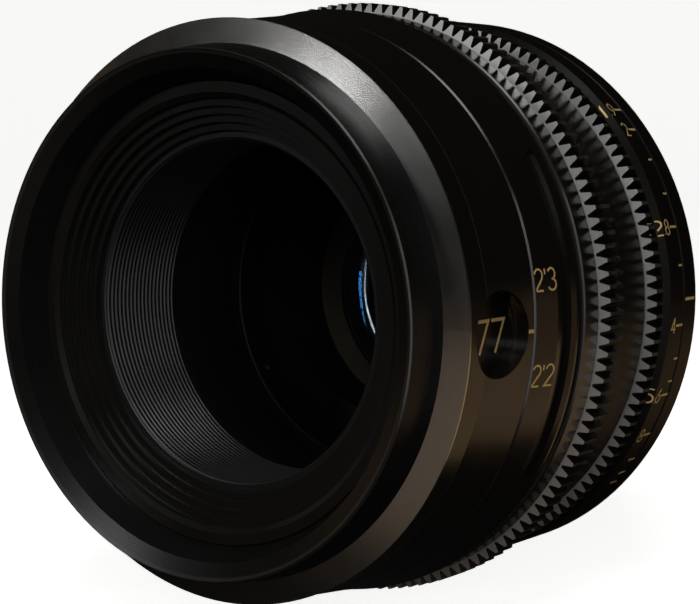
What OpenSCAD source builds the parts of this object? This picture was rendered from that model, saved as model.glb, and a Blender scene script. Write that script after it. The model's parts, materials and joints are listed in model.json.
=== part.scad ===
// Cinema prime lens: fixed housing, geared focus ring, geared iris ring, sliding optical block.
// The optical axis lies along Y. The lens looks towards -Y, +Z is up.
// The origin is the centre of the rear flange face. Depth is measured backwards from the front edge.
// Clock angles are degrees from straight up, clockwise as seen from in front of the lens.

/* [Front] */
// Outside diameter of the front that clamp-on accessories grip
rim_d = 110; // [107:0.5:114]
// Length of the straight cylinder that an accessory clamps
clamp_len = 5.3; // [4:0.1:8]
// Outside diameter of the front lip
lip_d = 98.4; // [96:0.2:100]
// Diameter of the mouth at the front lip
mouth_d = 91.2; // [89:0.2:93]
// Depth of the dished front face
lip_dish = 1.6; // [1:0.1:2.5]
// Length of the dark band behind the lip
band_len = 8; // [7:0.1:11]
// Growth in radius along the dark band
band_flare = 1.1; // [0.6:0.1:1.6]
// Axial length of the bright bevel
bevel_run = 1.3; // [1:0.1:3]
// Major diameter of the filter thread
filter_d = 82; // [78:1:83]
// Length of the filter thread
filter_len = 4.7; // [3.5:0.1:6]
// Length of the front barrel that shows
front_barrel_len = 18.9; // [18:0.1:24]
// Growth in radius along the front barrel
barrel_flare = 1.3; // [0.5:0.1:2]

/* [Number plate] */
// Clock angle of the number plate's recess
plate_clock = 91.5; // [60:0.5:120]
// Depth of the recess's centre behind the front edge of the barrel
plate_setback = 9.4; // [9.2:0.1:10]
// Diameter of the recess at the surface
plate_recess_d = 15.6; // [13:0.1:16]
// Depth of the ledge in the recess's wall
plate_step = 1.9; // [1.5:0.1:2.3]
// Width of that ledge
plate_ledge = 0.3; // [0.2:0.05:0.6]
// Depth of the recess's floor
plate_floor = 4; // [3.4:0.1:4.6]
// Thickness of the plate
plate_t = 0.8; // [0.5:0.1:1.2]

/* [Light baffle] */
// Bore of the grooved baffle tube
baffle_d = 69; // [64:0.5:70]
// Number of light-trap grooves
groove_count = 17; // [6:1:20]
// Spacing of the grooves
groove_pitch = 1.12; // [0.8:0.02:1.2]
// Depth of a groove
groove_depth = 0.6; // [0.3:0.05:0.8]

/* [Focus ring] */
// Length of the focus ring ahead of its rear bead
focus_sleeve_len = 12.8; // [12:0.1:16]
// Width of the dark groove behind the bead
focus_groove_w = 2.4; // [1.5:0.1:4]
// Length of the plain rim ahead of the gear
focus_rim_len = 5.5; // [4:0.1:8]
// Number of focus gear teeth
focus_teeth = 148; // [146:1:152]
// Face width of the focus gear
focus_gear_w = 6.8; // [5:0.1:9]
// Turn from rest to the near stop, degrees
focus_near = 20; // [10:1:25]
// Turn from rest to infinity, degrees
focus_far = 270; // [200:5:280]
// Travel of the optical block in one turn of the focus ring
focus_lead = 14.4; // [13.2:0.1:15]
// Clock angle of the finger slot's middle
slot_clock = 89.5; // [60:0.5:120]
// Straight length of the finger slot along its front edge
slot_len = 53; // [40:1:60]
// Spread of each end of the finger slot towards the bead
slot_splay = 4.6; // [0:0.1:6]

/* [Iris ring] */
// Length of the fixed band between the rings
centre_len = 16.6; // [15:0.1:20]
// Number of iris gear teeth
iris_teeth = 141; // [139:1:142]
// Face width of the iris gear
iris_gear_w = 4.2; // [3:0.1:6]
// Length of the iris scale band
iris_band_len = 7.2; // [6.6:0.1:9]
// Turn of the iris ring from rest to fully open, degrees
iris_open = 41.4; // [30:0.2:44]
// Turn of the iris ring from rest to the smallest stop, degrees
iris_close = 41.9; // [30:0.1:44]

/* [Iris] */
// Radius of the fully open aperture
open_r = 13.5; // [12.8:0.1:14]
// Radius of the smallest aperture
closed_r = 1.5; // [1:0.1:3]
// Width of a blade
blade_w = 7.2; // [6.8:0.1:7.4]
// Thickness of a blade
blade_t = 0.2; // [0.1:0.02:0.24]
// Spacing of the blade planes
blade_pitch = 0.35; // [0.3:0.01:0.5]

/* [Rear] */
// Length of the straight part of the rear barrel
rear_land = 5.1; // [3:0.1:10]
// Outside diameter of the mount's locating barrel
mount_barrel_d = 54; // [53:0.1:56]
// Length of the mount's locating barrel
mount_barrel_len = 14; // [12.5:0.1:18]
// Outside diameter over the mount's four lugs
lug_d = 69; // [66:0.2:72]
// Thickness of the mount's lugs
lug_t = 4.5; // [3:0.1:6]
// Number of screws that hold the mount
mount_screw_count = 6; // [4:1:8]

/* [Fits] */
// Radial gap between fixed pieces that fit together
fit = 0.1; // [0.05:0.01:0.15]
// Radial gap of a running fit
run = 0.06; // [0.03:0.01:0.1]
// Gap between pieces that move past each other
air = 0.3; // [0.2:0.05:0.4]

/* [Hidden] */
$fn = 96;
gear_module = 0.8;
pressure_angle = 20;
dedendum = 1.25;
// Slope of a tooth's ends, which are relieved from root to tip
tooth_slope = 18;
// One node is listed for each blade
blade_count = 9;
// Break on sharp outer edges
edge = 0.3;
// Reach of a cut past the piece that it cuts
over = 1;
// Overlap that joins two forms into one solid
sink = 0.5;

// Depths of the outside, from the front edge backwards
band_z = band_len;
bevel_z = band_z + bevel_run;
bevel_land = 0.4;
barrel_z = bevel_z + bevel_land;
seam_z = barrel_z + front_barrel_len;
focus_z = seam_z + air;
bead_z = focus_z + focus_sleeve_len;
rim_z = bead_z + focus_groove_w;
focus_gear_z = rim_z + focus_rim_len;
focus_gear_end = focus_gear_z + focus_gear_w;
focus_tail = 0.6;
focus_end = focus_gear_end + focus_tail;
centre_z = focus_end + air;
centre_end = centre_z + centre_len;
iris_z = centre_end + air;
iris_gear_end = iris_z + iris_gear_w;
iris_end = iris_gear_end + iris_band_len;
rear_z = iris_end + air;
cone_z = rear_z + rear_land;

// Radii of the front pieces
rim_r = rim_d / 2;
lip_r = lip_d / 2;
mouth_r = mouth_d / 2;
band_r = lip_r + band_flare;
filter_r = filter_d / 2;
filter_bead = 1;
bead_r = filter_r + filter_bead;
funnel_step = 0.9;
funnel_r = bead_r + funnel_step;
funnel_setback = 0.6;
funnel_z = band_z + funnel_setback;
spigot_step = 0.3;
spigot_r = band_r - spigot_step;
spigot_wall = 4;
spigot_bore = spigot_r - spigot_wall;
baffle_flange_t = 1.7;
filter_end = funnel_z + filter_bead + filter_len;
baffle_flange_end = filter_end + baffle_flange_t;
tongue_t = 1.4;
tongue_r = spigot_r + tongue_t;
tongue_len = 1.5;
tongue_z = barrel_z + tongue_len;
seam_r = rim_r + barrel_flare;
barrel_wall = 7;
barrel_bore = rim_r - barrel_wall;
plate_r = plate_recess_d / 2 - plate_ledge;

// Light baffle
baffle_r = baffle_d / 2;
baffle_wall = 2.7;
baffle_lead_in = 0.6;
baffle_len = groove_count * groove_pitch;
baffle_tail = 0.4;
baffle_end = filter_end + baffle_lead_in + baffle_len + baffle_tail;
// Shares of the pitch at which a groove's crest, front side and floor end
groove_crest = 0.45;
groove_side = 0.55;
groove_bed = 0.9;

// Optical block, its guide tube and the cam sleeve, from the iris outwards
pivot_margin = 1.6;
pivot_r = open_r + blade_w + pivot_margin;
tail_len = 7;
boss_step = 4.3;
boss_r = pivot_r - boss_step;
cam_plate_land = 3.3;
cam_plate_bore = pivot_r - cam_plate_land;
cam_plate_rim = 0.1;
cam_plate_r = pivot_r + tail_len + cam_plate_rim;
cell_rim = 0.2;
cell_r = cam_plate_r + cell_rim;
cell_wall = 3.6;
front_bore = cell_r - cell_wall;
fork_space = 0.6;
fork_r = cell_r + fork_space;
fork_t = 3.4;
fork_prong = 2.5;
fork_clear = 0.9;
block_bore = fork_r + fork_t + fork_clear;
block_wall = 2.92;
block_r = block_bore + block_wall;
slide_gap = 0.08;
guide_bore = block_r + slide_gap;
guide_wall = 3;
guide_r = guide_bore + guide_wall;
sleeve_bore = guide_r + run;
sleeve_wall = 4;
sleeve_r = sleeve_bore + sleeve_wall;
guide_setback = 0.2;
guide_z = baffle_end + guide_setback;
guide_lip = 2.7;

// Focus travel and the cam grooves
focus_slope = focus_lead / 360;
near_travel = focus_near * focus_slope;
far_travel = focus_far * focus_slope;
roller_r = 1.5;
roller_screw_r = 0.75;
roller_clear = 0.15;
roller_starts = 3;
pin_clock = 180;
roller_clock = pin_clock - 180 / roller_starts;
roller_setback = 4;
roller_z = focus_end + roller_setback;
groove_w = 2 * (roller_r + roller_clear);
groove_floor = 2.6;
groove_margin = 4;
groove_step = 14;
block_lead = 4;
block_z = roller_z - block_lead;
sleeve_tail = 5;
sleeve_end = roller_z + far_travel + sleeve_tail;
collar_gap = 0.2;
retainer_t = 2;

// Focus ring radii and its drive web
focus_inset = 0.8;
focus_bore = rim_r - focus_inset;
front_sleeve_gap = 0.5;
front_sleeve_r = focus_bore - front_sleeve_gap;
seam_step = 0.05;
focus_front_r = seam_r + seam_step;
focus_flare = 1.1;
focus_flare_len = 8;
flare_z = focus_z + focus_flare_len;
slot_setback = 4;
slot_z = focus_z + slot_setback;
bead_land = 2.5;
slot_end = bead_z - bead_land;
slot_rise = 0.6;
slot_floor = focus_front_r + slot_rise;
slot_fall = 0.5;
bead_w = 1;
bead_rise = 1.85;
bead_top_r = focus_front_r + bead_rise;
focus_groove_wall = 2.7;
focus_groove_r = focus_bore + focus_groove_wall;
focus_rim_rise = 1.65;
focus_rim_r = focus_front_r + focus_rim_rise;
focus_seat_wall = 1.8;
focus_seat_r = focus_bore + focus_seat_wall;
web_t = 3;
web_inset = 2.4;
web_end = focus_gear_end - web_inset;
web_z = web_end - web_t;
sleeve_flange_gap = 3.7;
sleeve_flange_r = focus_bore - sleeve_flange_gap;
sleeve_flange_t = 2.4;
sleeve_lead = 4.5;
sleeve_z = web_z - sleeve_lead;
drive_screw_count = 6;
drive_screw_clock = 20;
drive_screw_r = 0.9;
drive_head_r = 1.6;
drive_head_t = 1.4;
drive_screw_ring = (sleeve_r + sleeve_flange_r) / 2;

// Focus stop
stop_pin_r = 1.5;
stop_pin_ring = (sleeve_r + sleeve_flange_r) / 2;
stop_pin_clock = drive_screw_clock + 3.5 * 360 / drive_screw_count;
stop_clear_deg = 0.6;
stop_pin_deg = asin(stop_pin_r / stop_pin_ring) + stop_clear_deg;
stop_side = 0.8;
stop_lip = 0.4;
stop_ring_t = 3.4;
stop_ring_lead = 6.5;
stop_ring_z = sleeve_z - stop_ring_lead;
stop_block_len = 4.5;
stop_pin_clear = 1.2;
stop_pin_z = stop_ring_z + stop_ring_t + stop_pin_clear;
hub_web_t = 3;
hub_gap = 2;
hub_web_end = stop_ring_z - hub_gap;
hub_web_z = hub_web_end - hub_web_t;

// Fixed centre sleeve, iris ring and rear barrel
centre_step = 0.2;
centre_r = rim_r + centre_step;
centre_wall = 4.5;
centre_bore = rim_r - centre_wall;
iris_sleeve_step = 1.5;
iris_sleeve_r = rim_r - iris_sleeve_step;
iris_bore = iris_sleeve_r + run;
iris_gear_root = gear_module * (iris_teeth / 2 - dedendum);
iris_gear_wall = 0.7;
iris_gear_bore = iris_gear_root - iris_gear_wall;
iris_seat_r = iris_gear_bore - fit;
iris_band_rise = 2.9;
iris_band_r = rim_r + iris_band_rise;
iris_shoulder = 1.2;
centre_tail = 2.1;
centre_tail_end = rear_z + centre_tail;
rear_web_t = 4;
rear_wall = 3;

// Iris drive pin, which slides along the fork as the block moves
pin_r = 1.8;
pin_clear = 0.12;
pin_edge = 0.8;
pin_z = iris_end - pin_r - pin_edge;
pin_grip = 1.8;
pin_tip_r = fork_r + pin_grip;
pin_cover = 1.2;
pin_top_r = iris_band_r - pin_cover;
slot_clear = 0.25;
slot_side = pin_r + slot_clear;
swing_spare = 0.5;
fork_spare = 0.6;
fork_front = pin_z - far_travel - pin_r - fork_spare;
fork_gap = pin_r + pin_clear;

// Front cell and front glass, with spherical faces of radius R1 and R2
cell_flange_t = 2.5;
shoulder_t = 2.5;
shoulder_gap = 0.7;
shoulder_end = fork_front - shoulder_gap;
shoulder_z = shoulder_end - shoulder_t;
cell_z = shoulder_z - cell_flange_t;
glass_gap = 0.05;
seat_gap = 0.02;
function sag(R, r) = abs(R) - sqrt(R * R - r * r);
// Depth of a spherical face at radius r, convex towards the front where R is positive
function face_z(z, R, r) = z + sign(R) * sag(R, r);

// Each glass element: front vertex, front radius, rear vertex, rear radius, half diameter
front_glass_wall = 1.7;
front_glass_r = front_bore - front_glass_wall;
inner_glass_step = 2.3;
inner_glass_r = front_glass_r - inner_glass_step;
e1_setback = 10.5;
e1_t = 5.8;
e1_front = 58;
e1_rear = 400;
e1_z = cell_z + e1_setback;
element_1_data = [e1_z, e1_front, e1_z + e1_t, e1_rear, front_glass_r];
e2_air = 0.8;
e2_t = 5.8;
e2_front = 38;
e2_rear = 85;
e2_z = e1_z + e1_t + e2_air;
element_2_data = [e2_z, e2_front, e2_z + e2_t, e2_rear, inner_glass_r];
e3_air = 1.6;
e3_t = 1.6;
e3_front = 150;
e3_rear = 60;
e3_z = e2_z + e2_t + e3_air;
element_3_data = [e3_z, e3_front, e3_z + e3_t, e3_rear, inner_glass_r];
// A hollow face stops at a flat land, so that its rim seats square
rim_land = 0.5;
function front_rim(d) = face_z(d[0], d[1], d[1] > 0 ? d[4] : d[4] - rim_land);
function rear_rim(d) = face_z(d[2], d[3], d[3] < 0 ? d[4] : d[4] - rim_land);
// Depth at which a seat meets a glass face at radius r: on the land where the face is hollow
function front_seat(d, r) = d[1] > 0 ? face_z(d[0], d[1], r) : front_rim(d);
function rear_seat(d, r) = d[3] < 0 ? face_z(d[2], d[3], r) : rear_rim(d);
inner_ring_t = 1;
spacer_wall = 1;
seat_w = 0.7;
bezel_lip = 0.9;
bezel_len = 4.4;
cell_end = rear_rim(element_3_data) + inner_ring_t + glass_gap;

// Iris stack, from the cam plate backwards
cam_plate_t = 1.2;
cam_plate_end = cell_end + cam_plate_t;
blade_gap = 0.25;
blade_z = cam_plate_end + blade_gap;
rotor_t = 1.2;
rotor_gap = 0.1;
rotor_z = blade_z + blade_count * blade_pitch + rotor_gap;
rotor_end = rotor_z + rotor_t;
flange_gap = 0.4;
flange_z = rotor_end + flange_gap;
rear_flange_t = 2.5;
rear_flange_end = flange_z + rear_flange_t;
stop_margin = 0.8;
stop_bore = open_r + stop_margin;

// Rear glass, cemented pair first, in a cell that passes through the mount's bore
mount_r = mount_barrel_d / 2;
mount_wall = 2;
mount_bore = mount_r - mount_wall;
rear_cell_gap = 1.5;
rear_cell_r = mount_bore - rear_cell_gap;
rear_cell_wall = 6.5;
rear_glass_r = rear_cell_r - rear_cell_wall;
hollow_r = 30;
pair_r = 70;
e4_setback = 0.9;
e4_t = 1.6;
e4_z = flange_z + e4_setback + sag(hollow_r, rear_glass_r - rim_land);
element_4_data = [e4_z, -hollow_r, e4_z + e4_t, pair_r, rear_glass_r];
e5_t = 7.25;
e5_rear = 38;
e5_z = e4_z + e4_t + glass_gap;
element_5_data = [e5_z, pair_r, e5_z + e5_t, -e5_rear, rear_glass_r];
rear_air = 0.7;
e6_t = 4.6;
e6_front = 150;
e6_rear = 60;
e6_z = e5_z + e5_t + rear_air;
element_6_data = [e6_z, e6_front, e6_z + e6_t, -e6_rear, rear_glass_r];
e7_t = 3.4;
e7_front = 55;
e7_rear = 300;
e7_z = e6_z + e6_t + rear_air;
element_7_data = [e7_z, e7_front, e7_z + e7_t, e7_rear, rear_glass_r];
rear_ring_t = 2;
rear_cell_end = rear_rim(element_7_data) + rear_ring_t + glass_gap;

// Rear mount, placed so that the block clears it at infinity
infinity_gap = 0.4;
plate_z = rear_flange_end + far_travel + infinity_gap;
shim_t = 0.3;
mount_z = plate_z + shim_t;
mount_plate_t = 3;
waist_len = 5;
lug_z = mount_z + mount_plate_t + waist_len;
flange_depth = lug_z + lug_t;
waist_step = 3;
waist_r = mount_r + waist_step;
rear_end_bore = guide_bore;
rear_seat_w = 6.3;
mount_plate_r = rear_end_bore + rear_seat_w;
rear_end_step = 0.2;
rear_end_r = mount_plate_r + rear_end_step;
rear_end_flare = 2;
rear_web_step = 4;
mount_screw_ring = (mount_plate_r + rear_end_bore) / 2;
mount_screw_r = 1.1;
mount_head_r = 1.9;
mount_head_t = 1.7;
hex_r = 0.9;
hex_deep = 1.1;
mount_thread_len = 6;
lug_count = 4;
lug_gap_deg = 15;
lug_land = 1;
mount_edge = 0.8;
index_notch_w = 3.2;
index_notch_d = 2.5;
rear_mask_t = 1.5;
rear_mask_wall = 5.5;
guide_tail = 12;
guide_end = centre_tail_end + rear_web_t + guide_tail;

// Iris blades: each pivots on the rotor and its guide pin follows a cam slot in the fixed plate
blade_swing = 2 * asin((open_r - closed_r) / (2 * pivot_r));
iris_throw = iris_open + iris_close;
swing_rate = blade_swing / iris_throw;
rest_swing = swing_rate * iris_open;
tail_from = -85;
tail_half = 0.8;
pivot_pin_r = 0.5;
guide_pin_r = 0.4;
guide_clear = 0.1;
blade_from = -6;
blade_to = 100;
cam_steps = 12;

// A point turned by an angle about the origin
function turn(p, a) = [p[0] * cos(a) - p[1] * sin(a), p[0] * sin(a) + p[1] * cos(a)];
// Place of a blade's guide pin, in the block, when the iris ring has turned by a from rest
function guide_pin_at(a) =
    let (tail = turn([tail_len, 0], tail_from + rest_swing - swing_rate * a))
    turn([pivot_r + tail[0], tail[1]], a);
// The same point moved outwards by s
function pushed_out(p, s) = p * (norm(p) + s) / norm(p);

barrel_black = "#1d1b1a";
band_black = "#161515";
bevel_silver = "#8d8b88";
inner_black = "#101010";
gear_black = "#232120";
brass = "#a98a4c";
steel = "#b9bbbd";
glass_tint = "#9fb6d8";
blade_black = "#2a2a2c";
ring_brown = "#4a4038";

// Children drawn with depth along Z come to lie along the optical axis
module on_axis() {
    translate([0, -flange_depth, 0])
        rotate([-90, 0, 0])
            children();
}

// A turned piece from a profile of [radius, depth] points
module turned(profile) {
    rotate_extrude()
        polygon(profile);
}

// Part of a turned piece between two clock angles
module turned_arc(profile, from, to) {
    rotate([0, 0, from - 90])
        rotate_extrude(angle = to - from)
            polygon(profile);
}

// A plain ring
module ring(r_in, r_out, z0, z1) {
    turned([[r_in, z0], [r_out, z0], [r_out, z1], [r_in, z1]]);
}

// Children drawn along X are placed at a clock angle
module at_clock(a) {
    rotate([0, 0, a - 90])
        children();
}

// A cylinder that points outwards from the axis
module radial_rod(clock, z, r, from, to) {
    at_clock(clock)
        translate([from, 0, z])
            rotate([0, 90, 0])
                cylinder(r = r, h = to - from);
}

// Cylinders parallel to the axis, evenly spaced on a circle
module axial_rods(count, ring_r, r, z0, z1, first = 0) {
    for (i = [0 : count - 1])
        at_clock(first + i * 360 / count)
            translate([ring_r, 0, z0])
                cylinder(r = r, h = z1 - z0);
}

// Fixed housing

module front_ring() {
    color(band_black)
        on_axis()
            turned([
                [mouth_r, lip_dish], [lip_r - edge, 0], [lip_r, edge], [band_r, band_z], [spigot_r, band_z],
                [spigot_r, baffle_flange_end], [spigot_bore, baffle_flange_end],
                [spigot_bore, funnel_z], [funnel_r, funnel_z]
            ]);
}

module filter_ring() {
    color(inner_black)
        on_axis()
            turned([
                [bead_r, funnel_z], [spigot_bore - fit, funnel_z], [spigot_bore - fit, filter_end],
                [filter_r, filter_end], [filter_r, funnel_z + filter_bead]
            ]);
}

module baffle_tube() {
    groove_z = filter_end + baffle_lead_in;
    corners = [[0, 1], [groove_depth, groove_bed], [groove_depth, groove_side], [0, groove_crest]];
    grooves = [
        for (i = [groove_count - 1 : -1 : 0], corner = corners)
            [baffle_r + corner[0], groove_z + (i + corner[1]) * groove_pitch]
    ];
    color(inner_black)
        on_axis()
            turned(concat(
                [
                    [baffle_r + baffle_lead_in, filter_end], [spigot_bore - fit, filter_end],
                    [spigot_bore - fit, baffle_flange_end], [baffle_r + baffle_wall, baffle_flange_end],
                    [baffle_r + baffle_wall, baffle_end], [baffle_r, baffle_end]
                ],
                grooves,
                [[baffle_r, groove_z]]
            ));
}

module bevel_ring() {
    bevel_bore = spigot_r + fit;
    color(bevel_silver)
        on_axis()
            turned([
                [bevel_bore, band_z], [band_r, band_z], [rim_r, bevel_z], [rim_r, barrel_z],
                [tongue_r, barrel_z], [tongue_r, tongue_z], [bevel_bore, tongue_z]
            ]);
}

module front_barrel() {
    plate_z0 = barrel_z + plate_setback;
    recess_r = plate_recess_d / 2;
    color(barrel_black)
        on_axis()
            difference() {
                turned([
                    [tongue_r + fit, barrel_z], [rim_r, barrel_z], [rim_r, barrel_z + clamp_len],
                    [seam_r, seam_z - edge], [seam_r - edge, seam_z],
                    [front_sleeve_r, seam_z], [front_sleeve_r, hub_web_end],
                    [guide_r + fit, hub_web_end], [guide_r + fit, hub_web_z], [barrel_bore, hub_web_z],
                    [barrel_bore, baffle_flange_end], [spigot_r + fit, baffle_flange_end],
                    [spigot_r + fit, tongue_z], [tongue_r + fit, tongue_z]
                ]);
                radial_rod(plate_clock, plate_z0, recess_r, rim_r - plate_step, seam_r + over);
                radial_rod(plate_clock, plate_z0, plate_r + fit, rim_r - plate_floor, rim_r);
            }
}

module number_plate() {
    floor_r = rim_r - plate_floor;
    color(inner_black)
        on_axis()
            radial_rod(plate_clock, barrel_z + plate_setback, plate_r, floor_r, floor_r + plate_t);
}

module guide_tube() {
    slot_z0 = roller_z - near_travel - roller_r - roller_clear;
    slot_z1 = roller_z + far_travel + roller_r + roller_clear;
    slot_r = roller_r + roller_clear;
    pin_swing = asin(slot_side / guide_bore) + swing_spare;
    color(inner_black)
        on_axis()
            difference() {
                turned([
                    [baffle_r + fit, guide_z], [guide_r, guide_z], [guide_r, guide_end],
                    [guide_bore, guide_end], [guide_bore, guide_z + guide_lip],
                    [baffle_r + fit, guide_z + guide_lip]
                ]);
                for (i = [0 : roller_starts - 1])
                    at_clock(roller_clock + i * 360 / roller_starts)
                        translate([guide_bore - over, -slot_r, slot_z0])
                            cube([guide_wall + 2 * over, 2 * slot_r, slot_z1 - slot_z0]);
                turned_arc(
                    [
                        [guide_bore - over, pin_z - slot_side], [guide_r + over, pin_z - slot_side],
                        [guide_r + over, pin_z + slot_side], [guide_bore - over, pin_z + slot_side]
                    ],
                    pin_clock - iris_close - pin_swing, pin_clock + iris_open + pin_swing
                );
            }
}

module focus_stop_ring() {
    block_z0 = stop_ring_z + stop_ring_t;
    block_in = stop_pin_ring - stop_pin_r - stop_side;
    block_out = stop_pin_ring + stop_pin_r + stop_side;
    color(brass)
        on_axis()
            union() {
                ring(guide_r + fit, block_out + stop_lip, stop_ring_z, block_z0);
                turned_arc(
                    [
                        [block_in, block_z0 - sink], [block_out, block_z0 - sink],
                        [block_out, block_z0 + stop_block_len], [block_in, block_z0 + stop_block_len]
                    ],
                    stop_pin_clock + focus_far + stop_pin_deg - 360,
                    stop_pin_clock - focus_near - stop_pin_deg
                );
            }
}

module front_glide_ring() {
    color(brass)
        on_axis()
            ring(guide_r + fit, sleeve_r - collar_gap, stop_ring_z + stop_ring_t, sleeve_z - collar_gap);
}

module sleeve_retainer() {
    retainer_z = sleeve_end + collar_gap;
    color(inner_black)
        on_axis()
            ring(guide_r + fit, sleeve_r - collar_gap, retainer_z, retainer_z + retainer_t);
}

module centre_barrel() {
    pin_swing = asin(slot_side / centre_bore) + swing_spare;
    color(barrel_black)
        on_axis()
            difference() {
                turned([
                    [centre_bore, centre_z], [centre_r - edge, centre_z], [centre_r, centre_z + edge],
                    [centre_r, centre_end - edge], [centre_r - edge, centre_end], [iris_sleeve_r, centre_end],
                    [iris_sleeve_r, centre_tail_end], [centre_bore, centre_tail_end]
                ]);
                turned_arc(
                    [
                        [centre_bore - over, pin_z - slot_side], [iris_sleeve_r + over, pin_z - slot_side],
                        [iris_sleeve_r + over, pin_z + slot_side], [centre_bore - over, pin_z + slot_side]
                    ],
                    pin_clock - iris_close - pin_swing, pin_clock + iris_open + pin_swing
                );
            }
}

module rear_barrel() {
    web_z1 = centre_tail_end + rear_web_t;
    taper_z = plate_z - mount_thread_len - rear_end_flare;
    color(barrel_black)
        on_axis()
            difference() {
                turned([
                    [iris_sleeve_r + fit, rear_z], [iris_band_r - edge, rear_z], [iris_band_r, rear_z + edge],
                    [iris_band_r, cone_z], [rear_end_r, plate_z], [rear_end_bore, plate_z],
                    [rear_end_bore + rear_end_flare, taper_z],
                    [iris_band_r - rear_wall - rear_web_step, web_z1], [guide_r + fit, web_z1],
                    [guide_r + fit, centre_tail_end], [iris_sleeve_r + fit, centre_tail_end]
                ]);
                axial_rods(mount_screw_count, mount_screw_ring, mount_screw_r + fit,
                    plate_z - mount_thread_len, plate_z + over);
            }
}

module mount_shim() {
    color(brass)
        on_axis()
            difference() {
                ring(rear_end_bore, mount_plate_r, plate_z, mount_z);
                axial_rods(mount_screw_count, mount_screw_ring, mount_screw_r + fit,
                    plate_z - over, mount_z + over);
            }
}

// Four lugs around the flange, with a locating notch in each
module lug_cuts() {
    reach = lug_d;
    gap_r = waist_r + lug_land;
    lug_step = 360 / lug_count;
    for (i = [0 : lug_count - 1]) {
        at_clock(i * lug_step)
            translate([0, 0, lug_z - over])
                linear_extrude(height = lug_t + over)
                    polygon([
                        [gap_r, -gap_r * tan(lug_gap_deg)], [reach, -reach * tan(lug_gap_deg)],
                        [reach, reach * tan(lug_gap_deg)], [gap_r, gap_r * tan(lug_gap_deg)]
                    ]);
        at_clock((i + 0.5) * lug_step)
            translate([lug_d / 2 - index_notch_d, -index_notch_w / 2, lug_z - over])
                cube([index_notch_d + over, index_notch_w, lug_t + 2 * over]);
    }
}

module rear_mount() {
    head_z = mount_z + mount_plate_t - mount_head_t;
    color(steel)
        on_axis()
            difference() {
                turned([
                    [mount_bore, mount_z], [mount_plate_r, mount_z], [mount_plate_r, mount_z + mount_plate_t],
                    [waist_r, mount_z + mount_plate_t], [waist_r, lug_z], [lug_d / 2, lug_z],
                    [lug_d / 2, flange_depth], [mount_r, flange_depth],
                    [mount_r, flange_depth + mount_barrel_len - mount_edge],
                    [mount_r - mount_edge, flange_depth + mount_barrel_len],
                    [mount_bore, flange_depth + mount_barrel_len]
                ]);
                lug_cuts();
                axial_rods(mount_screw_count, mount_screw_ring, mount_screw_r + fit,
                    mount_z - over, flange_depth);
                axial_rods(mount_screw_count, mount_screw_ring, mount_head_r + fit, head_z, flange_depth);
            }
}

module mount_screws() {
    head_z = mount_z + mount_plate_t - mount_head_t;
    color(steel)
        on_axis()
            difference() {
                union() {
                    axial_rods(mount_screw_count, mount_screw_ring, mount_screw_r,
                        plate_z - mount_thread_len + sink, head_z + sink);
                    axial_rods(mount_screw_count, mount_screw_ring, mount_head_r,
                        head_z, head_z + mount_head_t - fit);
                }
                for (i = [0 : mount_screw_count - 1])
                    at_clock(i * 360 / mount_screw_count)
                        translate([mount_screw_ring, 0, head_z + mount_head_t - hex_deep])
                            cylinder(r = hex_r, h = mount_head_t, $fn = 6);
            }
}

module rear_mask() {
    mask_end = flange_depth + mount_barrel_len;
    color(inner_black)
        on_axis()
            turned([
                [mount_bore - rear_mask_wall + edge, mask_end - rear_mask_t],
                [mount_bore - fit, mask_end - rear_mask_t], [mount_bore - fit, mask_end - edge],
                [mount_bore - rear_mask_wall, mask_end - edge]
            ]);
}

// Focus ring and what turns with it

// A shallow slot that slopes down to a wall in front of the bead, milled straight in between splayed ends
module finger_slot() {
    front_half = slot_len / 2;
    rear_half = front_half + slot_splay;
    slot_top = bead_top_r + over;
    intersection() {
        turned([
            [slot_floor + slot_fall, slot_z], [slot_top, slot_z], [slot_top, slot_end], [slot_floor, slot_end]
        ]);
        at_clock(slot_clock)
            rotate([0, 90, 0])
                linear_extrude(height = slot_top + over)
                    polygon([
                        [-slot_z + over, -front_half], [-slot_end - over, -rear_half],
                        [-slot_end - over, rear_half], [-slot_z + over, front_half]
                    ]);
    }
}

module focus_ring() {
    color(barrel_black)
        on_axis()
            difference() {
                turned([
                    [focus_bore, focus_z], [focus_front_r - edge, focus_z], [focus_front_r, focus_z + edge],
                    [focus_front_r + focus_flare, flare_z], [bead_top_r, bead_z - bead_w],
                    [bead_top_r, bead_z - edge], [bead_top_r - edge, bead_z], [focus_groove_r, bead_z + edge],
                    [focus_groove_r, rim_z - edge], [focus_rim_r - edge, rim_z], [focus_rim_r, rim_z + edge],
                    [focus_rim_r, focus_gear_z - edge], [focus_rim_r - edge, focus_gear_z],
                    [focus_seat_r, focus_gear_z], [focus_seat_r, focus_end], [focus_bore, focus_end],
                    [focus_bore, web_end], [sleeve_r + fit, web_end], [sleeve_r + fit, web_z],
                    [focus_bore, web_z]
                ]);
                finger_slot();
                axial_rods(drive_screw_count, drive_screw_ring, drive_screw_r + fit,
                    web_z + sink, web_end + over, drive_screw_clock);
                axial_rods(1, stop_pin_ring, stop_pin_r + fit, web_z - over, web_end + over, stop_pin_clock);
            }
}

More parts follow.
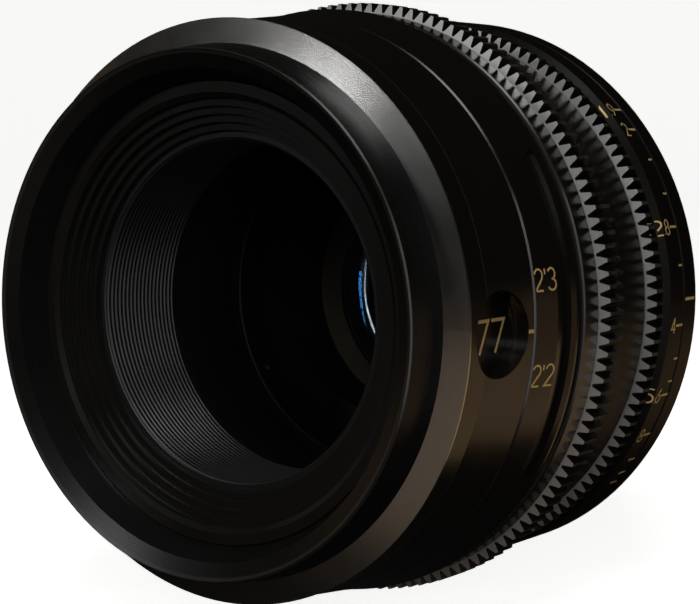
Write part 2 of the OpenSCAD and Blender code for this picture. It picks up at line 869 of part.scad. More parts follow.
// Straight-flanked teeth, close to the involute at this many teeth, with relieved ends
module gear(teeth, bore, z0, z1) {
    pitch_r = gear_module * teeth / 2;
    tip_r = pitch_r + gear_module;
    root_r = pitch_r - dedendum * gear_module;
    half = PI * gear_module / 4;
    tip_deg = (half - gear_module * tan(pressure_angle)) / tip_r * 180 / PI;
    root_deg = (half + dedendum * gear_module * tan(pressure_angle)) / root_r * 180 / PI;
    corners = [[root_r, -root_deg], [tip_r, -tip_deg], [tip_r, tip_deg], [root_r, root_deg]];
    outline = [
        for (i = [0 : teeth - 1], corner = corners)
            turn([corner[0], 0], i * 360 / teeth + corner[1])
    ];
    land_r = root_r - edge;
    relief_r = tip_r + over;
    relief = (relief_r - land_r) * tan(tooth_slope);
    intersection() {
        translate([0, 0, z0 - over])
            linear_extrude(height = z1 - z0 + 2 * over)
                polygon(outline);
        turned(
            [
                [bore, z0], [land_r, z0], [relief_r, z0 + relief],
                [relief_r, z1 - relief], [land_r, z1], [bore, z1]
            ],
            $fn = 4 * $fn
        );
    }
}

module focus_gear() {
    color(gear_black)
        on_axis()
            gear(focus_teeth, focus_seat_r + fit, focus_gear_z, focus_gear_end);
}

// One helical groove, swept along the path that a roller takes in the turning sleeve
module cam_groove(first_clock) {
    turn_from = -focus_near - groove_margin;
    turn_to = focus_far + groove_margin;
    steps = ceil((turn_to - turn_from) / groove_step);
    r_in = sleeve_bore - over;
    r_out = (sleeve_bore + groove_floor) / cos(groove_step / 2);
    half_w = groove_w / 2;
    corners = [[r_in, -half_w], [r_out, -half_w], [r_out, half_w], [r_in, half_w]];
    points = [
        for (i = [0 : steps], c = corners)
            let (a = turn_from + (turn_to - turn_from) * i / steps, p = turn([c[0], 0], first_clock - 90 - a))
                [p[0], p[1], roller_z + a * focus_slope + c[1]]
    ];
    sides = [
        for (i = [0 : steps - 1], j = [0 : 3], half = [0, 1])
            let (k = (j + 1) % 4, here = 4 * i, next = 4 * i + 4)
                half == 0 ? [here + k, here + j, next + j] : [here + k, next + j, next + k]
    ];
    last = 4 * steps;
    ends = [[0, 1, 2], [0, 2, 3], [last + 2, last + 1, last], [last + 3, last + 2, last]];
    polyhedron(points, concat(sides, ends));
}

module cam_sleeve() {
    flange_end = web_end + sleeve_flange_t;
    color(brass)
        on_axis()
            difference() {
                turned([
                    [sleeve_bore, sleeve_z], [sleeve_r, sleeve_z], [sleeve_r, web_end],
                    [sleeve_flange_r, web_end], [sleeve_flange_r, flange_end], [sleeve_r, flange_end],
                    [sleeve_r, sleeve_end], [sleeve_bore, sleeve_end]
                ]);
                for (i = [0 : roller_starts - 1])
                    cam_groove(roller_clock + i * 360 / roller_starts);
                axial_rods(drive_screw_count, drive_screw_ring, drive_screw_r + fit,
                    web_end - over, flange_end + over, drive_screw_clock);
                axial_rods(drive_screw_count, drive_screw_ring, drive_head_r + fit,
                    flange_end - drive_head_t, flange_end + over, drive_screw_clock);
            }
}

module focus_drive_screws() {
    head_z = web_end + sleeve_flange_t - drive_head_t;
    color(steel)
        on_axis()
            union() {
                axial_rods(drive_screw_count, drive_screw_ring, drive_screw_r,
                    web_z + 2 * sink, head_z + sink, drive_screw_clock);
                axial_rods(drive_screw_count, drive_screw_ring, drive_head_r,
                    head_z, head_z + drive_head_t - fit, drive_screw_clock);
            }
}

module focus_stop_pin() {
    color(steel)
        on_axis()
            axial_rods(1, stop_pin_ring, stop_pin_r, stop_pin_z, web_end - fit, stop_pin_clock);
}

// Iris ring and what turns with it

module iris_ring() {
    color(barrel_black)
        on_axis()
            difference() {
                turned([
                    [iris_bore, iris_z], [iris_seat_r, iris_z], [iris_seat_r, iris_gear_end],
                    [iris_band_r - iris_shoulder, iris_gear_end],
                    [iris_band_r, iris_gear_end + iris_shoulder], [iris_band_r, iris_end - edge],
                    [iris_band_r - edge, iris_end], [iris_bore, iris_end]
                ]);
                radial_rod(pin_clock, pin_z, pin_r + fit, iris_bore - over, pin_top_r);
            }
}

module iris_gear() {
    color(gear_black)
        on_axis()
            gear(iris_teeth, iris_gear_bore, iris_z, iris_gear_end - seat_gap);
}

module iris_drive_pin() {
    color(steel)
        on_axis()
            radial_rod(pin_clock, pin_z, pin_r, pin_tip_r, pin_top_r - fit);
}

// Optical block, which slides without turning

module block_barrel() {
    window_z0 = pin_z - far_travel - slot_side;
    window_z1 = pin_z + near_travel + slot_side;
    pin_swing = asin(slot_side / block_bore) + swing_spare;
    color(inner_black)
        on_axis()
            difference() {
                turned([
                    [block_bore + edge, block_z], [block_r - edge, block_z], [block_r, block_z + edge],
                    [block_r, flange_z], [block_bore, flange_z], [block_bore, shoulder_end],
                    [cell_r + fit, shoulder_end], [cell_r + fit, shoulder_z], [block_bore, shoulder_z],
                    [block_bore, block_z + edge]
                ]);
                for (i = [0 : roller_starts - 1])
                    radial_rod(roller_clock + i * 360 / roller_starts, roller_z, roller_screw_r + fit,
                        block_bore - over, block_r + over);
                turned_arc(
                    [
                        [block_bore - sink, window_z0], [block_r + over, window_z0],
                        [block_r + over, window_z1], [block_bore - sink, window_z1]
                    ],
                    pin_clock - iris_close - pin_swing, pin_clock + iris_open + pin_swing
                );
            }
}

module cam_rollers() {
    color(brass)
        on_axis()
            for (i = [0 : roller_starts - 1])
                difference() {
                    radial_rod(roller_clock + i * 360 / roller_starts, roller_z, roller_r,
                        block_r + pin_clear, sleeve_bore + groove_floor - air);
                    radial_rod(roller_clock + i * 360 / roller_starts, roller_z, roller_screw_r + run,
                        block_r - over, sleeve_bore + groove_floor);
                }
}

module roller_screws() {
    color(steel)
        on_axis()
            for (i = [0 : roller_starts - 1])
                radial_rod(roller_clock + i * 360 / roller_starts, roller_z, roller_screw_r,
                    block_bore + air, sleeve_bore + groove_floor - sink);
}

module front_cell() {
    seat_1 = rear_rim(element_1_data) + seat_gap;
    seat_2 = front_rim(element_2_data) - seat_gap;
    seat_2_in = inner_glass_r - seat_w;
    seat_1_in = front_glass_r - 2 * seat_w;
    seat_2_edge = front_seat(element_2_data, seat_2_in) - seat_gap;
    color(inner_black)
        on_axis()
            turned([
                [front_bore, cell_z], [block_bore - fit, cell_z], [block_bore - fit, shoulder_z],
                [cell_r, shoulder_z], [cell_r, cell_end], [inner_glass_r + fit, cell_end],
                [inner_glass_r + fit, seat_2], [seat_2_in, seat_2_edge], [seat_2_in, seat_2_edge - seat_w],
                [seat_1_in, seat_1 + 3 * seat_w], [seat_1_in, seat_1], [front_glass_r + fit, seat_1],
                [front_glass_r + fit, front_rim(element_1_data)], [front_bore, front_rim(element_1_data)]
            ]);
}

module front_retaining_ring() {
    lip_in = front_glass_r - bezel_lip;
    lip_z = face_z(element_1_data[0], element_1_data[1], lip_in);
    seat_z = front_rim(element_1_data) - fit;
    color(ring_brown)
        on_axis()
            turned([
                [lip_in, lip_z - fit], [lip_in, lip_z - sink], [front_bore - edge, seat_z - bezel_len],
                [front_bore - fit, seat_z - bezel_len], [front_bore - fit, seat_z]
            ]);
}

// The ball whose surface is a face of radius R at vertex depth z
module face_ball(z, R) {
    translate([0, 0, z + R])
        sphere(r = abs(R), $fn = 180);
}

// A glass element: a disc trimmed by convex faces and hollowed by concave ones
module element(d) {
    z0 = min(d[0], front_rim(d)) - sink;
    z1 = max(d[2], rear_rim(d)) + sink;
    color(glass_tint, 0.5)
        on_axis()
            trimmed(d[0], d[1], d[1] > 0)
                trimmed(d[2], d[3], d[3] < 0)
                    capped(d, z0, z1);
}

// The disc, cut flat where a face is hollow, because the hollow starts at its rim
module capped(d, z0, z1) {
    from = d[1] > 0 ? z0 : front_rim(d);
    to = d[3] < 0 ? z1 : rear_rim(d);
    translate([0, 0, from])
        cylinder(r = d[4], h = to - from);
}

module trimmed(z, R, convex) {
    if (convex)
        intersection() {
            children();
            face_ball(z, R);
        }
    else
        difference() {
            children();
            face_ball(z, R);
        }
}

// A spacer with ends cut to the faces that it keeps apart
module spacer(before, after, wall) {
    r_out = before[4];
    r_in = r_out - wall;
    color(inner_black)
        on_axis()
            turned([
                [r_in, rear_seat(before, r_in) + seat_gap], [r_out, rear_rim(before) + seat_gap],
                [r_out, front_rim(after) - seat_gap], [r_in, front_seat(after, r_in) - seat_gap]
            ]);
}

module inner_retaining_ring() {
    ring_z = rear_rim(element_3_data) + seat_gap;
    color(inner_black)
        on_axis()
            ring(inner_glass_r - 2 * spacer_wall, inner_glass_r, ring_z, ring_z + inner_ring_t);
}

// The cam slot is a polygon along the guide pin's own path, so that blade and ring keep one ratio
module cam_slot() {
    half_w = guide_pin_r + guide_clear;
    path = [for (i = [0 : cam_steps]) guide_pin_at(-iris_close + iris_throw * i / cam_steps)];
    back = [for (i = [cam_steps : -1 : 0]) pushed_out(path[i], -half_w)];
    translate([0, 0, cell_end - over])
        linear_extrude(height = cam_plate_t + 2 * over)
            polygon(concat([for (p = path) pushed_out(p, half_w)], back));
    for (p = [path[0], path[cam_steps]])
        translate([p[0], p[1], cell_end - over])
            cylinder(r = half_w, h = cam_plate_t + 2 * over, $fn = 32);
}

module iris_cam_plate() {
    color(steel)
        on_axis()
            difference() {
                ring(cam_plate_bore, cam_plate_r, cell_end, cam_plate_end);
                for (i = [0 : blade_count - 1])
                    rotate([0, 0, i * 360 / blade_count])
                        cam_slot();
            }
}

module rear_cell() {
    seat = front_rim(element_4_data) - seat_gap;
    boss_z = rotor_z - glass_gap;
    flange_r = block_r - 2 * edge;
    color(inner_black)
        on_axis()
            turned([
                [stop_bore, boss_z], [boss_r - run, boss_z], [boss_r - run, flange_z],
                [flange_r, flange_z], [flange_r, rear_flange_end], [rear_cell_r, rear_flange_end],
                [rear_cell_r, rear_cell_end], [rear_glass_r + fit, rear_cell_end], [rear_glass_r + fit, seat],
                [stop_bore, seat]
            ]);
}

module rear_retaining_ring() {
    ring_z = rear_rim(element_7_data) + seat_gap;
    color(inner_black)
        on_axis()
            ring(rear_glass_r - 1.5 * spacer_wall, rear_glass_r, ring_z, ring_z + rear_ring_t);
}

// Iris rotor with the fork that the drive pin turns

module iris_rotor() {
    fork_w = fork_gap + fork_prong;
    color(steel)
        on_axis()
            difference() {
                union() {
                    ring(boss_r, cam_plate_r, rotor_z, rotor_end);
                    at_clock(pin_clock) {
                        translate([cam_plate_r - 2 * over, -fork_w, rotor_z])
                            cube([fork_r + fork_t - cam_plate_r + 2 * over, 2 * fork_w, rotor_t]);
                        for (side = [-1, 1])
                            translate([fork_r, side > 0 ? fork_gap : -fork_w, fork_front])
                                cube([fork_t, fork_prong, rotor_end - fork_front]);
                    }
                }
                for (i = [0 : blade_count - 1])
                    rotate([0, 0, i * 360 / blade_count])
                        translate([pivot_r, 0, rotor_z - over])
                            cylinder(r = pivot_pin_r + run, h = rotor_t + 2 * over, $fn = 32);
            }
}

// Outline of a blade with its pivot on the circle of pivots and the iris fully open
module blade_outline() {
    blade_out = open_r + blade_w;
    tail = turn([tail_len, 0], tail_from);
    lug_r = 2.3;
    wedge = [for (i = [0 : 4]) turn([2 * blade_out, 0], blade_from + (blade_to - blade_from) * i / 4)];
    intersection() {
        difference() {
            circle(r = blade_out);
            circle(r = open_r);
        }
        polygon(concat([[0, 0]], wedge));
    }
    translate([pivot_r, 0])
        circle(r = lug_r, $fn = 32);
    translate([pivot_r, 0])
        rotate(tail_from)
            translate([0, -tail_half])
                square([tail_len, 2 * tail_half]);
    translate([pivot_r + tail[0], tail[1]])
        circle(r = tail_half, $fn = 32);
}

module iris_blade(index) {
    z0 = blade_z + index * blade_pitch;
    guide_pin_z = cell_end + 2 * fit;
    tail = turn([tail_len, 0], tail_from);
    color(blade_black)
        on_axis()
            rotate([0, 0, index * 360 / blade_count])
                translate([pivot_r, 0, 0])
                    rotate([0, 0, rest_swing])
                        translate([-pivot_r, 0, 0])
                            union() {
                                translate([0, 0, z0])
                                    linear_extrude(height = blade_t)
                                        blade_outline();
                                translate([pivot_r, 0, z0])
                                    cylinder(r = pivot_pin_r, h = rotor_end - fit - z0, $fn = 32);
                                translate([pivot_r + tail[0], tail[1], guide_pin_z])
                                    cylinder(r = guide_pin_r, h = z0 + blade_t - guide_pin_z, $fn = 32);
                            }
}

front_ring();
filter_ring();
baffle_tube();
bevel_ring();
front_barrel();
number_plate();
guide_tube();
focus_stop_ring();
front_glide_ring();
sleeve_retainer();
centre_barrel();
rear_barrel();
mount_shim();
rear_mount();
mount_screws();
rear_mask();
focus_ring();
focus_gear();
cam_sleeve();
focus_drive_screws();
focus_stop_pin();
iris_ring();
iris_gear();
iris_drive_pin();
block_barrel();
cam_rollers();
roller_screws();
front_cell();
front_retaining_ring();
element(element_1_data);  // element_1
element(element_2_data);  // element_2
element(element_3_data);  // element_3
spacer(element_2_data, element_3_data, spacer_wall);  // front_spacer
inner_retaining_ring();
iris_cam_plate();
rear_cell();
element(element_4_data);  // element_4
element(element_5_data);  // element_5
element(element_6_data);  // element_6
element(element_7_data);  // element_7
spacer(element_5_data, element_6_data, spacer_wall);  // rear_spacer_1
spacer(element_6_data, element_7_data, spacer_wall);  // rear_spacer_2
rear_retaining_ring();
iris_rotor();
iris_blade(0);  // iris_blade_1
iris_blade(1);  // iris_blade_2
iris_blade(2);  // iris_blade_3
iris_blade(3);  // iris_blade_4
iris_blade(4);  // iris_blade_5
iris_blade(5);  // iris_blade_6
iris_blade(6);  // iris_blade_7
iris_blade(7);  // iris_blade_8
iris_blade(8);  // iris_blade_9
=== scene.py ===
import json
import math

import bmesh
import bpy
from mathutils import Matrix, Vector
from mathutils.bvhtree import BVHTree


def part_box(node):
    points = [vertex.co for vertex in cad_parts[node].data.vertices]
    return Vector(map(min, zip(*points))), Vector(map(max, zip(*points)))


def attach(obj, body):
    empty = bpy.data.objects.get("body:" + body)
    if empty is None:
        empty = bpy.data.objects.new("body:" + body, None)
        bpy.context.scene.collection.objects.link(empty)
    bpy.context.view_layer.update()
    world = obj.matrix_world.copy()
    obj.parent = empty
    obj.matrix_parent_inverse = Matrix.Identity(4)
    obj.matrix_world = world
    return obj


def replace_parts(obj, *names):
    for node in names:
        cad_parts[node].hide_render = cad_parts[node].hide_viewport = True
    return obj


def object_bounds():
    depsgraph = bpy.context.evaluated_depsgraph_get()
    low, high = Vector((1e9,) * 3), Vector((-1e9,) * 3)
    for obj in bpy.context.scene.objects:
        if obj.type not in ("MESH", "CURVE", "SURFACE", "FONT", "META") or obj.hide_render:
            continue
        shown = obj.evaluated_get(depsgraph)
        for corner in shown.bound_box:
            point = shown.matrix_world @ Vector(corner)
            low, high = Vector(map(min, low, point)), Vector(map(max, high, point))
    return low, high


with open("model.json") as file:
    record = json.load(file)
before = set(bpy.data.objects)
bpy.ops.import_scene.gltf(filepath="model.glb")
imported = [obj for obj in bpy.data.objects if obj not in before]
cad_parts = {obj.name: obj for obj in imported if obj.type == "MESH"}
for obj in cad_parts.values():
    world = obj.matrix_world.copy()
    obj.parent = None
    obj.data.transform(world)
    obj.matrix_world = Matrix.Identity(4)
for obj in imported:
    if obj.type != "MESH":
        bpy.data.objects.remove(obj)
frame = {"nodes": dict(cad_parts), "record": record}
cad_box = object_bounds()

# Depths and radii are in millimetres, depth backwards from the lens's front edge.
# Clock angles are degrees from straight up, clockwise as seen from in front of the lens.
MM = 0.001
FRONT_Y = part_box("front_ring")[0][1]
REAR_BARREL_FRONT = (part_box("rear_barrel")[0][1] - FRONT_Y) / MM
IRIS_RING_END = (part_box("iris_ring")[1][1] - FRONT_Y) / MM
FOCUS_RING_FRONT = (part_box("focus_ring")[0][1] - FRONT_Y) / MM
FOCUS_INDEX_CLOCK = 91.5


def lens_point(clock, radius, depth):
    """A place on the lens, in metres."""
    a = math.radians(clock)
    return Vector((radius * MM * math.sin(a), FRONT_Y + depth * MM, radius * MM * math.cos(a)))


# Node trees

class Wire:
    """An output of a node. Operators between wires and numbers add Math nodes to its tree."""

    def __init__(self, wiring, socket):
        self.wiring = wiring
        self.socket = socket

    def maths(self, operation, *values):
        """A Math node with these values or wires."""
        return self.wiring.node("ShaderNodeMath", {"operation": operation}, dict(enumerate(values)))

    def __add__(self, other):
        return self.maths("ADD", self, other)

    __radd__ = __add__

    def __sub__(self, other):
        return self.maths("SUBTRACT", self, other)

    def __rsub__(self, other):
        return self.maths("SUBTRACT", other, self)

    def __mul__(self, other):
        return self.maths("MULTIPLY", self, other)

    __rmul__ = __mul__

    def __truediv__(self, other):
        return self.maths("DIVIDE", self, other)

    def __rtruediv__(self, other):
        return self.maths("DIVIDE", other, self)

    def __abs__(self):
        return self.maths("ABSOLUTE", self)

    def smooth(self, low, high):
        """A smooth step from 0 at low to 1 at high, whichever of the two is larger."""
        start, end = (0.0, 1.0) if high > low else (1.0, 0.0)
        sockets = {"Value": self, "From Min": min(low, high), "From Max": max(low, high),
                   "To Min": start, "To Max": end}
        return self.wiring.node("ShaderNodeMapRange", {"interpolation_type": "SMOOTHSTEP"}, sockets)


class Wiring:
    """Adds nodes to one node tree."""

    def __init__(self, tree):
        self.tree = tree

    def node(self, kind, settings=None, sockets=None, out=0):
        """A node of that kind, its settings made first and its sockets filled with values or wires."""
        made = self.tree.nodes.new(kind)
        for name, value in (settings or {}).items():
            setattr(made, name, value)
        for name, value in (sockets or {}).items():
            if isinstance(value, Wire):
                self.tree.links.new(value.socket, made.inputs[name])
            else:
                made.inputs[name].default_value = value
        return Wire(self, made.outputs[out]) if made.outputs else made


# Sockets of a Mix node for colours, whose names it uses more than once
MIX_FACTOR, MIX_FIRST, MIX_SECOND, MIX_RESULT = 0, 6, 7, 2
CLOUD_ROUGHNESS = 0.55
# Share of a band's half width over which it is full
BAND_CORE = 0.2


class Finish(Wiring):
    """A material and the patterns that its surface is made of."""

    def __init__(self, name):
        self.material = bpy.data.materials.new(name)
        self.material.use_nodes = True
        super().__init__(self.material.node_tree)
        self.tree.nodes.clear()
        self.place = self.node("ShaderNodeTexCoord", out="Object")
        x, self.y, z = (self.part_of(self.place, axis) for axis in "XYZ")
        self.radius = self.node("ShaderNodeVectorMath", {"operation": "LENGTH"},
                                {0: self.vector(x, 0.0, z)}, out="Value")
        self.facing_front = -1.0 * self.part_of(self.node("ShaderNodeTexCoord", out="Normal"), "Y")

    def part_of(self, vector, axis):
        """One of a vector's X, Y and Z."""
        return self.node("ShaderNodeSeparateXYZ", None, {"Vector": vector}, out=axis)

    def vector(self, x, y, z):
        return self.node("ShaderNodeCombineXYZ", None, {"X": x, "Y": y, "Z": z})

    def cloud(self, size_mm, detail=3.0, where=None):
        """Soft noise from 0 to 1, with patches of about that size."""
        return self.node("ShaderNodeTexNoise", None, {
            "Vector": where or self.place, "Scale": 1.0 / (size_mm * MM), "Detail": detail,
            "Roughness": CLOUD_ROUGHNESS})

    def turning(self, pitch_mm):
        """Fine rings left by the lathe, alike all the way round the axis."""
        return self.cloud(pitch_mm, 2.0, self.vector(self.y, self.radius, 0.0))

    def blend(self, factor, first, second):
        """From one colour to another."""
        pair = {MIX_FACTOR: factor, MIX_FIRST: first if isinstance(first, Wire) else (*first, 1.0),
                MIX_SECOND: second if isinstance(second, Wire) else (*second, 1.0)}
        return self.node("ShaderNodeMix", {"data_type": "RGBA"}, pair, out=MIX_RESULT)

    def depth_band(self, depth, half_width):
        """1 on a ring at that depth, fading to 0 at half_width from it."""
        away = abs(self.y - (FRONT_Y + depth * MM))
        return away.smooth(half_width * MM, BAND_CORE * half_width * MM)

    def bump(self, height, distance_mm):
        """A normal leant by a height pattern."""
        return self.node("ShaderNodeBump", None, {"Height": height, "Distance": distance_mm * MM})

    def surface(self, **sockets):
        """Ends the tree in a Principled shader. Names use _ for a space."""
        named = {name.replace("_", " "): value for name, value in sockets.items()}
        shader = self.node("ShaderNodeBsdfPrincipled", None, named)
        self.node("ShaderNodeOutputMaterial", None, {"Surface": shader})
        return self.material


# Finishes

# Dust, then the colour of the thin lines at edges: partly rubbed wear, partly painted edge highlight
DUST, EDGE_WEAR_AND_HIGHLIGHT = (0.05, 0.047, 0.044), (0.05, 0.046, 0.042)
EDGE_LINE_HALF_WIDTH = 0.22


def anodised_black(name, dark, light, roughness, edges=(), turned_mm=0.22, shine=0.5):
    """Black anodised aluminium: fine turning, faint clouds, dust, and thin lighter lines at the edge
    depths, partly rubbed wear and partly painted edge highlight.
    """
    f = Finish(name)
    cloud = f.cloud(14.0)
    lines = f.turning(turned_mm)
    dust = f.cloud(0.45, 1.0).smooth(0.74, 0.82) * f.cloud(9.0).smooth(0.5, 0.66)
    colour = f.blend(cloud, dark, light)
    colour = f.blend(dust * 0.3, colour, DUST)
    for depth in edges:
        # A thin lighter line at each edge depth: partly rubbed wear, partly painted highlight on the edge
        rub = f.depth_band(depth, EDGE_LINE_HALF_WIDTH) * (0.5 + 0.5 * f.cloud(3.0, 4.0))
        colour = f.blend(rub * 0.5, colour, EDGE_WEAR_AND_HIGHLIGHT)
    rough = roughness + 0.07 * (lines - 0.5) + 0.06 * (cloud - 0.5) + 0.2 * dust
    return f.surface(Base_Color=colour, Roughness=rough, Specular_IOR_Level=shine,
                     Normal=f.bump(lines + 0.4 * f.cloud(0.12, 1.0), 0.0015))


# A land's paint fades between these distances outside the bore, and its normal leans forward
LAND_FADE, LAND_EDGE, LAND_LEAN = 0.25, 0.1, 0.9


def groove_black(name, bore):
    """Black paint on the light trap, thin on the lands between grooves, with rounded front edges."""
    f = Finish(name)
    lines = f.turning(0.3)
    cloud = f.cloud(5.0)
    land = f.radius.smooth((bore + LAND_FADE) * MM, (bore + LAND_EDGE) * MM)
    colour = f.blend(cloud, (0.004, 0.0039, 0.0038), (0.0065, 0.0063, 0.0061))
    colour = f.blend(land, colour, (0.011, 0.0107, 0.0104))
    rough = 0.38 + 0.1 * (lines - 0.5) + 0.08 * (cloud - 0.5)
    upright = f.node("ShaderNodeNewGeometry", out="Normal")
    leant = f.node("ShaderNodeVectorMath", {"operation": "ADD"},
                   {0: upright, 1: f.vector(0.0, -LAND_LEAN * land, 0.0)})
    rounded = f.node("ShaderNodeVectorMath", {"operation": "NORMALIZE"}, {0: leant})
    return f.surface(Base_Color=colour, Roughness=rough, Specular_IOR_Level=0.4, Normal=rounded)


def turned_silver(name):
    """Clear-anodised aluminium straight from a fine lathe cut."""
    f = Finish(name)
    lines = f.turning(0.13)
    broad = f.turning(0.9)
    smear = f.cloud(7.0)
    nicks = f.cloud(0.5, 1.0).smooth(0.73, 0.79) * f.cloud(6.0).smooth(0.52, 0.68)
    colour = f.blend(0.5 * lines + 0.5 * broad, (0.33, 0.325, 0.32), (0.5, 0.495, 0.485))
    colour = f.blend(nicks, colour, (0.72, 0.7, 0.66))
    rough = 0.22 + 0.1 * (lines - 0.5) + 0.08 * (smear - 0.5)
    return f.surface(Base_Color=colour, Metallic=1.0, Roughness=rough,
                     Normal=f.bump(lines + 0.5 * nicks, 0.003))


def light_trap_black(name):
    """Flat black paint for the inside."""
    f = Finish(name)
    grain = f.cloud(0.25, 2.0)
    cloud = f.cloud(8.0)
    colour = f.blend(cloud, (0.0032, 0.0032, 0.0032), (0.006, 0.0058, 0.0056))
    rough = 0.55 + 0.16 * (grain - 0.5) + 0.12 * (cloud - 0.5)
    return f.surface(Base_Color=colour, Roughness=rough, Specular_IOR_Level=0.22,
                     Normal=f.bump(grain + f.turning(0.35), 0.006))


# Distances from a tip's radius at which its wear ends and is full
TIP_WEAR, TIP_CORE = 0.16, 0.02


def gear_black(name, tips):
    """Black teeth, worn on the tips where other gears have run, with ends faced to bare metal."""
    f = Finish(name)
    lines = f.turning(0.3)
    cloud = f.cloud(5.0)
    rub = f.cloud(1.6, 4.0).smooth(0.4, 0.62)
    worn = None
    for radius in tips:
        rim = abs(f.radius - radius * MM).smooth(TIP_WEAR * MM, TIP_CORE * MM)
        worn = rim if worn is None else worn + rim
    faced = f.facing_front.smooth(0.8, 0.93)
    bare = f.blend(0.6 * lines + 0.4 * f.cloud(1.2), (0.58, 0.575, 0.56), (0.74, 0.73, 0.71))
    colour = f.blend(cloud, (0.006, 0.0056, 0.0052), (0.01, 0.0094, 0.0088))
    colour = f.blend(worn * rub * 0.4, colour, (0.09, 0.087, 0.083))
    colour = f.blend(faced, colour, bare)
    rough = 0.42 + 0.12 * (lines - 0.5) + 0.1 * (cloud - 0.5) - 0.06 * faced
    return f.surface(Base_Color=colour, Metallic=0.82 * faced, Roughness=rough, Specular_IOR_Level=0.12,
                     Normal=f.bump(lines, 0.002))


def machined_metal(name, dark, light, roughness, turned_mm):
    """Bare turned metal with faint stains."""
    f = Finish(name)
    lines = f.turning(turned_mm)
    stain = f.cloud(6.0, 4.0)
    colour = f.blend(0.6 * lines + 0.4 * stain, dark, light)
    rough = roughness + 0.14 * (lines - 0.5) + 0.12 * (stain - 0.5)
    return f.surface(Base_Color=colour, Metallic=1.0, Roughness=rough, Normal=f.bump(lines, 0.004))


def blade_sheet(name):
    """Blackened spring steel, brushed along by the blades that slide over it."""
    f = Finish(name)
    rub = f.turning(0.5)
    cloud = f.cloud(4.0)
    colour = f.blend(rub * 0.7 + cloud * 0.3, (0.018, 0.018, 0.019), (0.06, 0.06, 0.063))
    return f.surface(Base_Color=colour, Metallic=0.4, Roughness=0.42 + 0.15 * (cloud - 0.5),
                     Normal=f.bump(rub, 0.003))


def gold_fill(name):
    """Gold paint wiped into the engraved figures."""
    f = Finish(name)
    grain = f.cloud(0.16, 2.0)
    cloud = f.cloud(3.0)
    colour = f.blend(0.5 * grain + 0.5 * cloud, (0.62, 0.4, 0.14), (0.86, 0.62, 0.27))
    return f.surface(Base_Color=colour, Metallic=0.25, Roughness=0.42 + 0.2 * (grain - 0.5),
                     Normal=f.bump(grain, 0.01))


def coated_glass(name, tint, film_nm):
    """Polished glass under a thin film that colours what it reflects."""
    f = Finish(name)
    haze = f.cloud(11.0, 2.0)
    return f.surface(Base_Color=tint, Roughness=0.006 * haze, IOR=1.62, Transmission_Weight=1.0,
                     Thin_Film_Thickness=film_nm, Thin_Film_IOR=1.38)


def studio_floor(name):
    """Pale floor with a little light of its own, so that it stays even to the picture's edge."""
    f = Finish(name)
    grain = f.cloud(3.0, 3.0)
    colour = f.blend(grain, (0.78, 0.78, 0.77), (0.82, 0.82, 0.81))
    return f.surface(Base_Color=colour, Roughness=0.75, Emission_Color=(0.95, 0.95, 0.94, 1.0),
                     Emission_Strength=0.95)


# Depths of the thin lighter lines, partly rubbed black and partly painted edge highlight: a line round the
# front barrel, then edges
BARREL_LINE, BEAD_EDGE, RIM_EDGE, LIP_EDGE = 15.0, 41.7, 44.1, 0.2
RING_EDGES = (BARREL_LINE, FOCUS_RING_FRONT, BEAD_EDGE, RIM_EDGE, IRIS_RING_END)
TRAP_BORE = 32.6
FOCUS_TIP_R, IRIS_TIP_R = 60.0, 57.2
BARREL = anodised_black("barrel_black_satin", (0.0048, 0.0042, 0.0035), (0.0072, 0.0062, 0.0052),
                        roughness=0.21, edges=RING_EDGES)
# A darker, less shiny copy of the barrel black, as painted shade on the rings behind the focus gear
SHADED_REAR = anodised_black("rear_black_satin", (0.0045, 0.0039, 0.0032), (0.0068, 0.0058, 0.0048),
                      roughness=0.34, edges=RING_EDGES, shine=0.1)
BAND = anodised_black("band_black_satin", (0.0042, 0.0039, 0.0036), (0.0062, 0.0058, 0.0054),
                      roughness=0.27, edges=(LIP_EDGE,), turned_mm=0.3, shine=0.3)
BAFFLE = groove_black("baffle_black", TRAP_BORE)
MOUTH = anodised_black("mouth_black_satin", (0.005, 0.0046, 0.004), (0.0075, 0.0068, 0.006),
                       roughness=0.3, turned_mm=0.3, shine=0.35)
SILVER = turned_silver("bevel_turned_silver")
INNER = light_trap_black("light_trap_black")
GEAR = gear_black("gear_black_cut", (FOCUS_TIP_R, IRIS_TIP_R))
BRASS = machined_metal("brass_turned", (0.5, 0.36, 0.15), (0.68, 0.51, 0.24),
                       roughness=0.32, turned_mm=0.3)
STEEL = machined_metal("mount_steel_ground", (0.5, 0.5, 0.51), (0.66, 0.66, 0.67),
                       roughness=0.26, turned_mm=0.18)
BROWN = anodised_black("bezel_brown", (0.065, 0.053, 0.038), (0.09, 0.074, 0.054),
                       roughness=0.4, turned_mm=0.25, shine=0.3)
BLADE = blade_sheet("iris_blade_black")
GOLD = gold_fill("gold_fill")
GLASS = coated_glass("coated_glass", (0.96, 0.985, 1.0, 1.0), 125.0)

FINISH_OF_SLOT = {
    "barrel_black": BARREL, "band_black": BAND, "bevel_silver": SILVER, "inner_black": INNER,
    "gear_black": GEAR, "brass": BRASS, "steel": STEEL, "ring_brown": BROWN, "coated_glass": GLASS,
    "blade_black": BLADE,
}
for part in frame["record"]["subparts"]:
    solid = frame["nodes"][part["node"]]
    solid.data.materials.clear()
    solid.data.materials.append(FINISH_OF_SLOT[part["material_slot"]])
# Nodes that don't have their slot's finish: the plate, and the rings behind the focus gear, which get a
# darker, less shiny copy of the barrel black as painted shade
FINISH_OF_NODE = {"number_plate": BARREL, "iris_ring": SHADED_REAR, "rear_barrel": SHADED_REAR, "centre_barrel": SHADED_REAR}
for node, finish in FINISH_OF_NODE.items():
    frame["nodes"][node].data.materials[0] = finish


# Pieces

def new_piece(name, mesh, body, material):
    """A finished piece at the origin that rides a body."""
    piece = bpy.data.objects.new(name, mesh)
    bpy.context.scene.collection.objects.link(piece)
    mesh.materials.clear()
    mesh.materials.append(material)
    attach(piece, body)
    return piece


